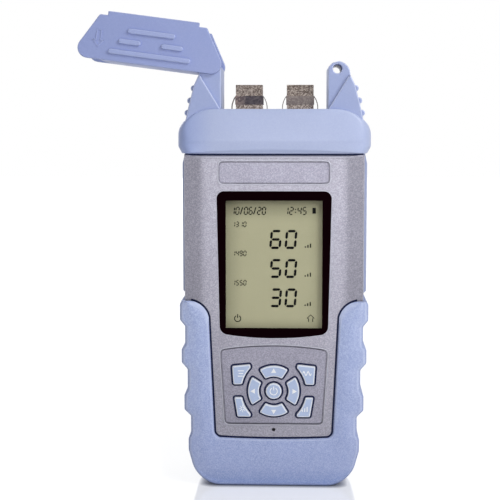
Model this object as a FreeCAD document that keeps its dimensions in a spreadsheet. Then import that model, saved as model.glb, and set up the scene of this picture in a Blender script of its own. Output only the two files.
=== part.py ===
import FreeCAD, Part
import math
import os
import Sketcher
from FreeCAD import Placement, Rotation, Vector

# Handheld optical power meter, millimetres. The origin is the middle of the flat bottom face.
# +Z is up, +X is to the right of a person who faces the display, and the display faces -Y.

DRIVING = {
    # depths, front to back
    "bulge_depth": 21.5,      # front and back faces of the cap
    "boot_front": 20.6,       # front face of the boot, ahead of the parting plane
    "boot_back": 21.5,        # back face of the boot
    "shell_front": 19.0,      # grey front face
    "shell_back": 20.0,       # rear face
    "wall": 2.0,
    "recess_depth": 0.5,      # label and keypad recesses
    "facet_half": 34.2,       # where the grey front starts to fall back to its sides
    "facet_slope": 0.145,
    # casing outline
    "shell_half": 41.8,
    "rear_half": 44.0,
    "shell_bottom": 2.2,
    "shell_top": 156.6,
    "waist_half": 37.2,       # casing half-width low inside the boot
    "shoulder_half": 40.2,    # casing half-width at the boot's top lug
    "corner_across": 24.5,    # centre of the round bottom corners
    "corner_radius": 14.64,   # outside of the boot
    "corner_end": -12.4,      # where a corner's arc ends, degrees
    # cap and ears
    "cap_bottom": 157.0,
    "cap_half": 45.0,
    "cap_top": 177.5,
    "shoulder_low": 165.3,    # where the cap's sides start to round over
    "shoulder_radius": 9.0,
    "deck": 175.8,
    "ear_in": 24.8,
    "ear_foot": 40.37,        # outer edge of an ear where it meets the deck's level
    "ear_top": 199.5,
    "ear_depth": 17.0,        # raised ear face, ahead of and behind the middle
    "ear_recess": 14.7,       # recessed ear face, where the cover plates run
    "pivot_across": 29.1,
    "pivot_up": 196.0,
    "bore": 2.1,
    # dust cover, drawn closed
    "plate_front": 17.0,
    "plate_thick": 2.0,
    "cover_top": 198.5,
    "cover_wall": 1.8,
    "cover_wall_half": 22.8,
    "boss": 2.02,
    "boss_length": 4.0,
    "open_angle": 172.5,
    "rib_height": 0.7,
    "rib_half": 1.0,
    # boot
    "boot_top": 88.5,
    "mouth_bottom": 23.5,
    "mouth_low": 28.0,
    "mouth_high": 30.5,
    # display
    "bezel_top": 139.6,
    "bezel_half_top": 26.6,
    "bezel_half_low": 25.3,
    "bezel_low": 71.9,
    "bezel_front": 19.25,
    "window_half": 22.5,
    "window_low": 75.4,
    "window_high": 135.3,
    # keypad
    "pad_up": 45.8,           # height of the keypad's centre
    "pad_gap": 0.5,
    "round_key": 3.7,
    "ring_in": 7.0,
    "ring_out": 12.0,
    "ring_angle": 33.0,       # half of an arrow key's angle, degrees
    "corner_arc": 15.5,
    "key_front": 19.7,
    "panel_thick": 3.0,       # front wall behind the keys and the display frame
    "flange_front": 16.6,
    "flange_back": 15.9,
    "stem_back": 14.6,
    # adapters
    "port_across": 12.0,
    "port_half": 6.3,
    "port_half_deep": 4.7,
    "port_clear": 0.05,       # round an adapter in the cap and in its plate
    "port_top": 189.0,
    "port_bottom": 166.0,
    "port_floor": 175.5,
    "can_top": 173.5,
    "sleeve_in": 1.25,
    "sleeve_out": 1.6,
    "sleeve_top": 184.3,
    "clip_sheet": 0.3,
    "clip_low": 181.6,
    "clip_high": 185.9,
    "clip_band": 1.0,
    "plate_screw_across": 21.5,
    # board and power
    "board_front": 9.0,
    "board_thick": 1.6,
    "cell": 7.2,
    "cell_pitch": 16.4,
    "cell_low": 30.0,
    "cell_length": 49.5,
    "door_low": 27.2,
    "door_high": 83.3,
    "door_half": 26.4,
    # screws
    "top_screw_across": 34.5,
    "top_screw_up": 146.0,
    "low_screw_across": 30.5,
    "low_screw_up": 13.0,
    "door_screw_up": 87.6,
}

doc = FreeCAD.newDocument("optical_power_meter")
sheet = doc.addObject("Spreadsheet::Sheet", "sizes")
for line, (alias, number) in enumerate(DRIVING.items(), 1):
    sheet.set(f"A{line}", alias)
    sheet.set(f"B{line}", str(number))
    sheet.setAlias(f"B{line}", alias)
doc.recompute()


class Size:
    """A length with its number and the sheet expression that it comes from."""

    def __init__(self, number, text):
        self.number = float(number)
        self.text = text

    def __add__(self, other):
        other = as_size(other)
        return Size(self.number + other.number, f"({self.text} + {other.text})")

    def __sub__(self, other):
        other = as_size(other)
        return Size(self.number - other.number, f"({self.text} - {other.text})")

    def __mul__(self, factor):
        factor = as_size(factor)
        return Size(self.number * factor.number, f"({self.text} * {factor.text})")

    def __truediv__(self, divisor):
        divisor = as_size(divisor)
        return Size(self.number / divisor.number, f"({self.text} / {divisor.text})")

    def __neg__(self):
        return Size(-self.number, f"(-1 * {self.text})")

    def __radd__(self, other):
        return as_size(other) + self

    def __rsub__(self, other):
        return as_size(other) - self

    def __rmul__(self, factor):
        return as_size(factor) * self


def as_size(value):
    """A Size as it is, or a plain number as a Size."""
    return value if isinstance(value, Size) else Size(value, repr(float(value)))


class Sheet:
    """The driving dimensions by name, each as a Size."""

    def __getattr__(self, alias):
        return Size(sheet.get(alias), f"sizes.{alias}")


S = Sheet()
parts = {}

# ---------------------------------------------------------------- sketches and features

LEFT, RIGHT = 1, -1            # which way an arc turns as the outline is followed
ACROSS = {"front": "XZ_Plane", "top": "XY_Plane"}


def arc_between(start, end, radius, turn):
    """The circular arc of a radius from start to end, turning left or right."""
    chord = end - start
    middle = (start + end) * 0.5
    left = Vector(-chord.y, chord.x, 0).normalize()
    reach = math.sqrt(radius**2 - (chord.Length / 2) ** 2)
    centre = middle + left * (reach * turn)
    first, last = (start, end) if turn == LEFT else (end, start)
    angles = [math.atan2(p.y - centre.y, p.x - centre.x) for p in (first, last)]
    circle = Part.Circle(centre, Vector(0, 0, 1), radius)
    return Part.ArcOfCircle(circle, angles[0], angles[1])


def add_outline(sketch, outline):
    """Draw one closed outline of lines and arcs, and tie every corner to the sheet."""
    corners = [(as_size(v[0]), as_size(v[1])) for v in outline]
    points = [Vector(x.number, y.number, 0) for x, y in corners]
    ends = []
    rules = []
    for i, vertex in enumerate(outline):
        start = points[i]
        end = points[(i + 1) % len(points)]
        if len(vertex) > 2:
            radius = as_size(vertex[2])
            index = sketch.addGeometry(arc_between(start, end, radius.number, vertex[3]), False)
            rules.append((Sketcher.Constraint("Radius", index, radius.number), radius))
            ends.append((index, 1, 2) if vertex[3] == LEFT else (index, 2, 1))
        else:
            index = sketch.addGeometry(Part.LineSegment(start, end), False)
            ends.append((index, 1, 2))
    for i, (index, first, last) in enumerate(ends):
        following, its_first, _ = ends[(i + 1) % len(ends)]
        sketch.addConstraint(Sketcher.Constraint("Coincident", index, last, following, its_first))
        for kind, size in zip(("DistanceX", "DistanceY"), corners[i]):
            rules.append((Sketcher.Constraint(kind, index, first, size.number), size))
    bind(sketch, rules)


def bind(sketch, rules):
    """Add dimension constraints and give each its sheet expression."""
    for constraint, size in rules:
        number = sketch.addConstraint(constraint)
        if "sizes." in size.text:
            sketch.setExpression(f"Constraints[{number}]", size.text)


def add_circle(sketch, x, y, radius):
    """Draw one circle, tied to the sheet."""
    x, y, radius = as_size(x), as_size(y), as_size(radius)
    circle = Part.Circle(Vector(x.number, y.number, 0), Vector(0, 0, 1), radius.number)
    index = sketch.addGeometry(circle, False)
    bind(sketch, [
        (Sketcher.Constraint("DistanceX", index, 3, x.number), x),
        (Sketcher.Constraint("DistanceY", index, 3, y.number), y),
        (Sketcher.Constraint("Radius", index, radius.number), radius),
    ])


class Piece:
    """One moulded, cut or turned piece: a PartDesign body that is built feature by feature."""

    def __init__(self, name):
        self.name = name
        self.body = doc.addObject("PartDesign::Body", name)
        self.body.Label = name
        parts[name] = self.body
        self.count = 0

    def sketch(self, plane, level, outlines=(), circles=()):
        """A sketch on one of the body's own planes; level is its Y (front) or its Z (top)."""
        self.count += 1
        sketch = self.body.newObject("Sketcher::SketchObject", f"{self.name}_sketch_{self.count}")
        origin = self.body.Origin.OriginFeatures
        sketch.AttachmentSupport = [next(f for f in origin if f.Role == ACROSS[plane])]
        sketch.MapMode = "FlatFace"
        level = as_size(level) if plane == "top" else -as_size(level)
        sketch.AttachmentOffset = Placement(Vector(0, 0, level.number), Rotation())
        if "sizes." in level.text:
            sketch.setExpression("AttachmentOffset.Base.z", level.text)
        for outline in outlines:
            add_outline(sketch, outline)
        for circle in circles:
            add_circle(sketch, *circle)
        return sketch

    def feature(self, kind, plane, start, end, outlines, circles):
        """A pad or pocket between two levels. A front sketch looks to -Y, a top sketch to +Z."""
        start, end = as_size(start), as_size(end)
        sketch = self.sketch(plane, start, outlines, circles)
        feature = self.body.newObject(f"PartDesign::{kind}", f"{self.name}_{kind}_{self.count}")
        feature.Profile = sketch
        grows = end.number > start.number
        length = end - start if grows else start - end
        feature.Length = length.number
        if "sizes." in length.text:
            feature.setExpression("Length", length.text)
        along_normal = grows if plane == "top" else not grows
        feature.Reversed = not along_normal if kind == "Pad" else along_normal
        return feature

    def pad(self, plane, start, end, *outlines, circles=()):
        """Add material between two levels."""
        self.feature("Pad", plane, start, end, outlines, circles)

    def cut(self, plane, start, end, *outlines, circles=()):
        """Take material away between two levels, and make sure that some was there."""
        doc.recompute()
        before = self.body.Shape.Volume
        self.feature("Pocket", plane, start, end, outlines, circles)
        doc.recompute()
        if not self.body.Shape.Volume < before - 1e-6:
            raise RuntimeError(f"a pocket of {self.name} cuts nothing")

    def edges(self, kind, size, chosen):
        """Round (Fillet) or bevel (Chamfer) the edges that chosen picks."""
        doc.recompute()
        base = self.body.Tip
        names = [f"Edge{i}" for i, e in enumerate(base.Shape.Edges, 1) if chosen(e)]
        if not names:
            raise RuntimeError(f"no edge of {self.name} is chosen")
        self.count += 1
        feature = self.body.newObject(f"PartDesign::{kind}", f"{self.name}_{kind}_{self.count}")
        feature.Base = (base, names)
        prop = "Radius" if kind == "Fillet" else "Size"
        setattr(feature, prop, as_size(size).number)
        doc.recompute()


def level_edges(axis, *levels):
    """Picks the edges that lie wholly at one of the given levels along an axis."""
    def chosen(edge):
        low, high = getattr(edge.BoundBox, axis + "Min"), getattr(edge.BoundBox, axis + "Max")
        return high - low < 1e-4 and any(abs(low - as_size(v).number) < 1e-3 for v in levels)
    return chosen


def deep_edges(where):
    """Picks the straight edges along Y for which where(x, z) holds."""
    def chosen(edge):
        box = edge.BoundBox
        return box.XLength < 1e-4 and box.ZLength < 1e-4 and where(box.Center.x, box.Center.z)
    return chosen


def mirrored(half, closing=()):
    """The whole outline from its right half, listed upwards; closing is the bottom's arc."""
    left = []
    for i in range(len(half) - 1, -1, -1):
        arc = half[i - 1][2:] if i > 0 else closing
        left.append((-as_size(half[i][0]), half[i][1], *arc))
    return list(half) + left


def flipped(outline):
    """An outline mirrored to the other side of X = 0, still followed the same way round."""
    count = len(outline)
    return [(-as_size(outline[i][0]), outline[i][1], *outline[i - 1][2:]) for i in range(count - 1, -1, -1)]


def box(x0, x1, y0, y1):
    """A rectangle."""
    return [(x0, y0), (x1, y0), (x1, y1), (x0, y1)]


def polar(radius, angle):
    """A point of the sheet's radius and angle in degrees, about (0, 0)."""
    radius, angle = as_size(radius), as_size(angle)
    turn = math.radians(angle.number)
    return (Size(radius.number * math.cos(turn), f"({radius.text} * cos({angle.text} * 1deg))"),
            Size(radius.number * math.sin(turn), f"({radius.text} * sin({angle.text} * 1deg))"))


# ---------------------------------------------------------------- outlines that pieces share

def corner_end(radius):
    """The upper end of a bottom corner's arc."""
    x, z = polar(radius, S.corner_end)
    return S.corner_across + x, S.corner_radius + z


def casing_outline(half, inset=0.0, top=None, shoulder=0.0):
    """Outline of a casing half, drawn in by inset; shoulder widens it just above the boot."""
    radius = S.corner_radius - S.shell_bottom - inset
    return mirrored([
        (S.corner_across, S.shell_bottom + inset, radius, LEFT),
        corner_end(radius),
        (S.waist_half - inset, 30.0),
        (S.shoulder_half - inset, 80.0),
        (S.shoulder_half + 1.4 - inset, 88.6),
        (half - inset, 91.0),
        (half - inset, 152.0),
        (half - shoulder - inset, S.shell_top if top is None else top),
    ])


def bezel_outline(grow=0.0):
    """Display frame: narrower at the bottom, where its edge is slightly bowed."""
    return mirrored([
        (S.bezel_half_low - 4.3 + grow, S.bezel_low - grow, 4.5, LEFT),
        (S.bezel_half_low + grow, S.bezel_low + 4.3),
        (S.bezel_half_top + grow, S.bezel_top - 3.3, 3.4, LEFT),
        (S.bezel_half_top - 3.3 + grow, S.bezel_top + grow),
    ], closing=(276.0, LEFT))


def label_outline():
    """Shallow recess above the display."""
    return mirrored([
        (23.6, 143.1, 2.2, LEFT),
        (25.7, 145.2),
        (25.7, 151.3, 2.2, LEFT),
        (23.6, 153.4),
    ])


def keypad_outline():
    """Shallow recess round the keys, bowed at its top."""
    return mirrored([
        (19.6, 29.9, 3.4, LEFT),
        (23.0, 33.2),
        (25.1, 63.4, 2.2, LEFT),
        (23.0, 65.4, 150.0, LEFT),
    ])


def mouth_outline():
    """Front and back opening of the boot: a U with convex shoulders."""
    return mirrored([
        (S.mouth_low - 3.3, S.mouth_bottom, 3.4, LEFT),
        (S.mouth_low, S.mouth_bottom + 3.4),
        (S.mouth_high, 80.8, 9.6, RIGHT),
        (40.0, S.boot_top),
        (50.0, S.boot_top),
        (50.0, S.boot_top + 8.0),
    ], closing=(305.0, LEFT))


def boot_outline():
    """Outside of the boot: four lugs down each side and round bottom corners."""
    return mirrored([
        (S.corner_across, 0.0, S.corner_radius, LEFT),
        corner_end(S.corner_radius),
        (40.3, 17.0), (40.3, 22.5),
        (39.1, 25.0), (39.1, 33.5),
        (42.2, 36.5), (42.2, 43.4),
        (40.6, 46.0), (40.6, 55.8),
        (43.4, 59.0), (43.4, 65.3),
        (41.7, 67.2), (41.7, 76.3),
        (44.1, 79.2), (44.1, 86.0),
        (43.6, S.boot_top),
    ])


def cap_outline():
    """Cap seen from the front: bevelled at the bottom, rounded at the shoulders."""
    bend = math.cos(math.radians(45.0))
    across = S.cap_half - S.shoulder_radius * (1.0 - bend)
    up = S.shoulder_low + S.shoulder_radius * bend
    crown = (S.cap_top - up) / (1.0 - bend)
    return mirrored([
        (S.cap_half - 1.9, S.cap_bottom),
        (S.cap_half, S.cap_bottom + 3.3),
        (S.cap_half, S.shoulder_low, S.shoulder_radius, LEFT),
        (across, up, crown, LEFT),
        (across - crown * bend, S.cap_top),
    ])


def ear_root_outline():
    """Root of the right ear, which is part of the cap, below the deck's level."""
    return [(S.ear_in, 168.0), (42.2, 168.0), (40.9, 173.5), (S.ear_foot, S.deck), (S.ear_in, S.deck)]


def ear_outline():
    """Right ear: upright inside, slanted outside, round on top."""
    return [
        (S.ear_in, S.deck),
        (S.ear_foot, S.deck),
        (39.5, 179.6), (37.1, 188.7), (35.0, 193.0, 6.0, LEFT),
        (29.6, S.ear_top),
        (26.7, S.ear_top - 0.8),
        (S.ear_in, S.ear_top - 2.8),
    ]


def ear_recess_outline():
    """The part of the right ear's face that is sunk for the cover's plates."""
    return [(24.0, 176.0), (37.5, 198.1), (37.5, 202.0), (24.0, 202.0)]


def cover_outline():
    """Plate of the closed cover: wide and round at the top, with a tab at the bottom."""
    return mirrored([
        (21.2, 176.0), (21.2, 177.9), (24.9, 177.9),
        (32.8, 191.3, 4.7, LEFT),
        (29.0, S.cover_top),
    ])


def rib_outline(x0, x1, z):
    """A raised bar with round ends, whose arcs are a hair under half circles."""
    r = S.rib_half
    end = r * 1.0001
    return [(x0 + r, z - r), (x1 - r, z - r, end, LEFT), (x1 - r, z + r), (x0 + r, z + r, end, LEFT)]


def corner_key(upper, grow):
    """A right-hand corner key about the keypad's centre; grow widens it into its hole."""
    arc = S.corner_arc - grow
    if upper:
        corners = [(14.9 - 0.6 * grow, 3.2 - grow), (18.9 + grow, 3.1 - grow),
                   (19.5 + grow, 11.7 + grow), (11.2 - grow, 12.6 + grow),
                   (10.8 - grow, 11.1 + 0.2 * grow, arc, RIGHT)]
    else:
        corners = [(10.9 - grow, -12.3 - grow), (17.0 + grow, -12.3 - grow),
                   (18.5 + grow, -3.1 + grow), (14.9 - 0.6 * grow, -3.1 + grow, arc, RIGHT),
                   (10.8 - grow, -11.1 - 0.2 * grow)]
    return [(c[0], S.pad_up + c[1], *c[2:]) for c in corners]


def arrow_key(direction, grow):
    """An arrow key: a piece of a ring about the keypad's centre, at an angle of direction."""
    inner, outer = S.ring_in - grow, S.ring_out + grow
    corners = []
    for radius, side in ((outer, -1), (outer, 1), (inner, 1), (inner, -1)):
        half = S.ring_angle + grow * math.degrees(1.0) / radius
        x, y = polar(radius, half * side + direction)
        corners.append([x, S.pad_up + y])
    corners[0] += [outer, LEFT]
    corners[2] += [inner, RIGHT]
    return [tuple(c) for c in corners]


ARROWS = {"key_up": 90.0, "key_left": 180.0, "key_down": 270.0, "key_right": 0.0}
CORNERS = {"key_upper_left": (True, flipped), "key_upper_right": (True, list),
           "key_lower_left": (False, flipped), "key_lower_right": (False, list)}


def key_outlines(grow=0.0):
    """Outline of each key by name; the round key in the middle is a circle and isn't here."""
    grow = as_size(grow)
    found = {name: arrow_key(direction, grow) for name, direction in ARROWS.items()}
    for name, (upper, side) in CORNERS.items():
        found[name] = side(corner_key(upper, grow))
    return found


SCREW_HEIGHTS = [(S.top_screw_across, S.top_screw_up), (S.low_screw_across, S.low_screw_up)]
SCREW_SPOTS = [(side * x, z) for x, z in SCREW_HEIGHTS for side in (-1, 1)]
BOARD_SPOTS = [(-27.0, 22.0), (27.0, 22.0), (-27.0, 142.6), (27.0, 142.6)]


# ---------------------------------------------------------------- casing

def make_front_shell():
    """Grey front half of the casing, hollow from behind and open at the top."""
    piece = Piece("front_shell")
    piece.pad("front", 0.0, -S.shell_front, casing_outline(S.shell_half))
    piece.edges("Fillet", 2.2, level_edges("Y", -S.shell_front))
    piece.cut("front", 0.0, S.wall - S.shell_front, casing_outline(S.shell_half, 2.0, 160.0))
    for side in (-1, 1):
        fall = (50.0 - S.facet_half) * S.facet_slope
        facet = [(S.facet_half, -S.shell_front), (50.0, -S.shell_front), (50.0, fall - S.shell_front)]
        piece.cut("top", 160.0, 0.0, facet if side > 0 else flipped(facet))
    inside = S.wall - S.shell_front - 0.5
    case_posts = [(x, z, 3.0) for x, z in SCREW_SPOTS]
    piece.pad("front", -1.0, inside, circles=case_posts)
    board_posts = [(x, z, 2.2) for x, z in BOARD_SPOTS]
    piece.pad("front", -S.board_front, inside, circles=board_posts)
    piece.cut("front", -1.0, -14.0, circles=[(x, z, 1.2) for x, z in SCREW_SPOTS])
    piece.cut("front", -S.board_front, -15.0, circles=[(x, z, 0.9) for x, z in BOARD_SPOTS])
    behind = S.panel_thick - S.shell_front
    piece.cut("front", -S.shell_front, behind, bezel_outline(0.05))
    piece.cut("front", -S.shell_front, S.recess_depth - S.shell_front, label_outline())
    piece.cut("front", -S.shell_front, S.recess_depth - S.shell_front, keypad_outline())
    holes = key_outlines(S.pad_gap).values()
    centre_hole = (0.0, S.pad_up, S.round_key + S.pad_gap)
    piece.cut("front", -S.shell_front, behind, *holes, circles=[centre_hole])
    piece.cut("front", -S.shell_front, behind, circles=[(0.0, 27.3, 0.8)])


def make_rear_shell():
    """Blue rear half of the casing with the battery bay and its boss for the door's screw."""
    piece = Piece("rear_shell")
    piece.pad("front", S.shell_back, 0.0, casing_outline(S.rear_half, shoulder=1.0))
    piece.edges("Fillet", 3.0, level_edges("Y", S.shell_back))
    piece.cut("front", 0.0, S.shell_back - S.wall, casing_outline(S.rear_half, 2.0, 160.0, shoulder=1.0))
    piece.pad("front", S.shell_back - 1.0, 1.0, box(-27.4, 27.4, S.door_low + 0.8, S.door_high - 0.8))
    screw_posts = [(x, z, 3.2) for x, z in SCREW_SPOTS]
    piece.pad("front", S.shell_back - 1.0, 0.0, circles=screw_posts + [(0.0, S.door_screw_up, 3.4)])
    piece.cut("front", S.shell_back, 2.2, box(-26.0, 26.0, 29.4, 81.1))
    piece.cut("front", S.shell_back, S.shell_back - 1.2, door_outline(0.1))
    piece.cut("front", S.shell_back, 18.6, circles=[(x, z, 2.4) for x, z in SCREW_SPOTS])
    through = [(x, z, 1.35) for x, z in SCREW_SPOTS]
    piece.cut("front", S.shell_back, -1.0, circles=through)
    piece.cut("front", S.shell_back, 8.0, circles=[(0.0, S.door_screw_up, 1.1)])


def door_outline(grow=0.0):
    """Battery door: a plate with a narrow tongue at the top for its screw."""
    g = grow
    return mirrored([
        (S.door_half + g, S.door_low - g), (S.door_half + g, S.door_high + g),
        (5.0 + g, S.door_high + g), (5.0 + g, S.door_screw_up + 4.2 + g),
    ])


def make_battery_door():
    """Flat door over the battery bay, with grip bars and a countersink for its screw."""
    piece = Piece("battery_door")
    piece.pad("front", S.shell_back, S.shell_back - 1.2, door_outline())
    piece.cut("front", S.shell_back, S.shell_back - 0.7, circles=[(0.0, S.door_screw_up, 2.2)])
    piece.cut("front", S.shell_back, 18.0, circles=[(0.0, S.door_screw_up, 1.25)])
    grips = [rib_outline(-9.0, 9.0, z) for z in (72.0, 75.2, 78.4)]
    piece.pad("front", S.shell_back, S.shell_back + 0.5, *grips)


GRIPS = [(37.7, 187.2), (39.4, 181.5), (40.7, 175.8)]    # the right ear's three round grips
GRIP_RADIUS = 1.5
GRIP_REACH = 10.0


def make_top_cap():
    """Cap over the casing's top, with the roots of both ears."""
    piece = Piece("top_cap")
    piece.pad("front", S.bulge_depth, -S.bulge_depth, cap_outline())
    piece.edges("Fillet", 3.8, level_edges("Y", -S.bulge_depth, S.bulge_depth))
    piece.pad("front", S.ear_depth, -S.ear_depth, ear_root_outline(), flipped(ear_root_outline()))
    low_grips = [(side * GRIPS[-1][0], GRIPS[-1][1], GRIP_RADIUS) for side in (-1, 1)]
    piece.pad("front", GRIP_REACH, -GRIP_REACH, circles=low_grips)
    piece.cut("top", 180.0, S.deck, box(-S.ear_in, S.ear_in, -17.2, 17.2))
    ear_seats = [box(S.ear_in, 46.0, -S.ear_depth, S.ear_depth)]
    ear_seats.append(flipped(ear_seats[0]))
    piece.cut("top", 180.0, S.deck, *ear_seats)
    piece.pad("top", S.cap_bottom + 1.0, S.cap_bottom - 6.0, box(-39.4, 39.4, -17.0, 18.0))
    piece.cut("top", S.deck - 2.0, S.cap_bottom - 7.0, box(-37.4, 37.4, -15.0, 16.0))
    plate_posts = [(side * S.plate_screw_across, 0.0, 2.4) for side in (-1, 1)]
    piece.pad("top", S.deck - 1.0, S.deck - 3.8, circles=plate_posts)
    piece.cut("top", S.deck - 0.5, S.deck - 3.8, circles=[(x, y, 1.0) for x, y, _ in plate_posts])
    piece.cut("top", S.deck + 1.0, S.deck - 3.0, *[port_outline(side) for side in (-1, 1)])


def port_outline(side):
    """Opening round the left (-1) or right (1) adapter, seen from above."""
    centre = S.port_across * side
    half, deep = S.port_half + S.port_clear, S.port_half_deep + S.port_clear
    return box(centre - half, centre + half, -deep, deep)


def make_ears():
    """Raised ears of the cap, one each side, with the cover's pivot bore and round grips."""
    for name, side, hand in (("cap_ear_left", -1, flipped), ("cap_ear_right", 1, list)):
        ear = Piece(name)
        ear.pad("front", S.ear_depth, -S.ear_depth, hand(ear_outline()))
        ear.cut("front", -S.ear_depth, -S.ear_recess, hand(ear_recess_outline()))
        ear.cut("front", S.ear_depth, S.ear_recess, hand(ear_recess_outline()))
        grips = [(side * x, z, GRIP_RADIUS) for x, z in GRIPS]
        ear.pad("front", GRIP_REACH, -GRIP_REACH, circles=grips)
        below = box(side * 41.0 - 3.0, side * 41.0 + 3.0, -S.ear_depth, S.ear_depth)
        ear.cut("top", S.deck, S.deck - 3.0, below)
        pivot = (S.pivot_across * side, S.pivot_up, S.bore)
        ear.cut("front", -S.ear_depth, S.ear_depth, circles=[pivot])


def make_boot():
    """Soft boot round the lower casing: open at the front and back, closed below."""
    piece = Piece("bumper_boot")
    piece.pad("front", S.boot_back, -S.boot_front, boot_outline())
    piece.edges("Fillet", 1.2, deep_edges(lambda x, z: abs(x) > 38.9 and z < 87.0))
    piece.edges("Fillet", 1.5, level_edges("Y", -S.boot_front, S.boot_back))
    piece.cut("front", -S.shell_front, 0.0, casing_outline(S.shell_half))
    piece.cut("front", 0.0, S.shell_back, casing_outline(S.rear_half, shoulder=1.0))
    piece.cut("front", -S.boot_front, S.boot_back, mouth_outline())


# ---------------------------------------------------------------- display and keypad

def make_display():
    """Black frame, clear window, liquid-crystal panel, light guide and contact strip."""
    window = box(-S.window_half, S.window_half, S.window_low, S.window_high)
    bezel = Piece("display_bezel")
    bezel.pad("front", -16.9, -S.bezel_front, bezel_outline())
    bezel.cut("front", -S.bezel_front, -16.9, window)
    lens = Piece("display_lens")
    lens.pad("front", -17.7, -18.9, window)
    panel = Piece("lcd_panel")
    panel.pad("front", -14.5, -16.9, box(-25.0, 25.0, 72.6, 138.4))
    light = Piece("backlight")
    light.pad("front", -12.0, -14.5, box(-24.0, 24.0, 73.5, 135.0))
    strip = Piece("contact_strip")
    strip.pad("front", -S.board_front, -14.5, box(-23.0, 23.0, 136.0, 138.4))
    clips = Piece("light_clips")
    feet = [box(x - 2.0, x + 2.0, z - 2.0, z + 2.0) for x in (-19.0, 19.0) for z in (78.0, 131.0)]
    clips.pad("front", -S.board_front, -9.8, box(-21.0, 21.0, 76.0, 133.0))
    clips.pad("front", -9.8, -12.0, *feet)


def make_key(name, outline=None):
    """One key: its visible top, a wider flange behind the panel and a stem to the mat."""
    piece = Piece(name)
    if outline is None:
        circle = [(0.0, S.pad_up, S.round_key)]
        piece.pad("front", -S.flange_front, -S.key_front, circles=circle)
        piece.pad("front", -S.flange_back, -S.flange_front, circles=[(0.0, S.pad_up, S.round_key + 0.9)])
        middle = (0.0, S.pad_up)
    else:
        piece.pad("front", -S.flange_back, -S.key_front, outline)
        spots = [(as_size(v[0]).number, as_size(v[1]).number) for v in outline]
        piece.edges("Fillet", 0.7, deep_edges(lambda x, z: True))
        middle = (sum(x for x, _ in spots) / len(spots), sum(z for _, z in spots) / len(spots))
        if name in ARROWS:
            middle = polar((S.ring_in + S.ring_out) / 2.0, ARROWS[name])
            middle = (middle[0], S.pad_up + middle[1])
    piece.edges("Fillet", 0.4, level_edges("Y", -S.key_front))
    piece.pad("front", -S.stem_back, -S.flange_back, circles=[(*middle, 1.3)])
    return middle


def make_keys():
    """All nine keys, and the soft mat with a dome behind each."""
    stems = [make_key("key_power")]
    stems += [make_key(name, outline) for name, outline in key_outlines().items()]
    mat = Piece("keypad_mat")
    mat.pad("front", -S.board_front, -10.2, box(-22.0, 22.0, 31.0, 62.0))
    mat.pad("front", -10.2, -13.5, circles=[(x, z, 2.2) for x, z in stems])


# ---------------------------------------------------------------- adapters

def make_adapter(side_name, side):
    """One fibre adapter with its clip, ferrule sleeve and detector, to the left or right."""
    x = S.port_across * side
    half, deep = S.port_half, S.port_half_deep
    housing = Piece(f"sc_adapter_{side_name}")
    housing.pad("top", S.port_bottom, S.port_top, box(x - half, x + half, -deep, deep))
    housing.pad("top", 172.0, S.deck - 2.0, box(x - 6.9, x + 6.9, -6.4, 6.4))
    housing.cut("top", S.port_top, S.port_floor, box(x - 4.55, x + 4.55, -3.75, 3.75))
    housing.pad("top", S.port_floor, S.sleeve_top + 0.4, circles=[(x, 0.0, 2.5)])
    housing.cut("top", S.sleeve_top + 0.4, S.port_bottom, circles=[(x, 0.0, S.sleeve_out)])
    housing.cut("top", S.port_bottom, S.can_top, circles=[(x, 0.0, 3.0)])
    key_slot = box(x - 1.1, x + 1.1, 3.0, deep + 1.0)
    housing.cut("top", S.port_top, S.port_top - 2.6, key_slot)

    sleeve = Piece(f"ferrule_sleeve_{side_name}")
    sleeve.pad("top", S.can_top, S.sleeve_top, circles=[(x, 0.0, S.sleeve_out)])
    sleeve.cut("top", S.sleeve_top, S.can_top, circles=[(x, 0.0, S.sleeve_in)])

    can = Piece(f"detector_{side_name}")
    can.pad("top", 167.5, S.can_top, circles=[(x, 0.0, 2.95)])
    leads = [(x + 1.3 * i, 0.0, 0.25) for i in (-1, 0, 1)]
    can.pad("top", 167.6, 158.0, circles=leads)

    make_clip(f"adapter_clip_{side_name}", x)


def make_clip(name, x):
    """Sheet-metal clip round an adapter: two plates, a band each side and two sprung wings."""
    clip = Piece(name)
    inner, outer = S.port_half, S.port_half + S.clip_sheet
    deep, front = S.port_half_deep, S.port_half_deep + S.clip_sheet
    plate = box(x - outer, x + outer, S.clip_low, S.clip_high)
    clip.pad("front", -deep, -front, plate)
    clip.pad("front", front, deep, plate)
    bands = [box(x + inner, x + outer, -front, front), box(x - outer, x - inner, -front, front)]
    clip.pad("top", S.clip_high - S.clip_band, S.clip_high, *bands)
    half_sheet = S.clip_sheet / 2.0
    root = x + inner + half_sheet
    tip = root + 1.9
    wing = [(root + half_sheet, S.clip_high, 12.0, RIGHT), (tip + half_sheet, 178.0),
            (tip - half_sheet, 178.0, 12.3, LEFT), (root - half_sheet, S.clip_high)]
    clip.pad("front", 2.6, -2.6, wing, flip_about(wing, x))


def flip_about(outline, x):
    """An outline mirrored about the upright line at x."""
    count = len(outline)
    return [(x * 2.0 - outline[i][0], outline[i][1], *outline[i - 1][2:]) for i in range(count - 1, -1, -1)]


def make_adapter_plate():
    """Steel plate under the cap's deck that clamps both adapters, with its two screws."""
    plate = Piece("adapter_plate")
    plate.pad("top", 170.5, 172.0, box(-24.5, 24.5, -9.0, 9.0))
    plate.cut("top", 172.0, 170.5, *[port_outline(side) for side in (-1, 1)])
    plate.cut("top", 172.0, 170.5, circles=[(side * S.plate_screw_across, 0.0, 1.2) for side in (-1, 1)])


# ---------------------------------------------------------------- dust cover

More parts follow.
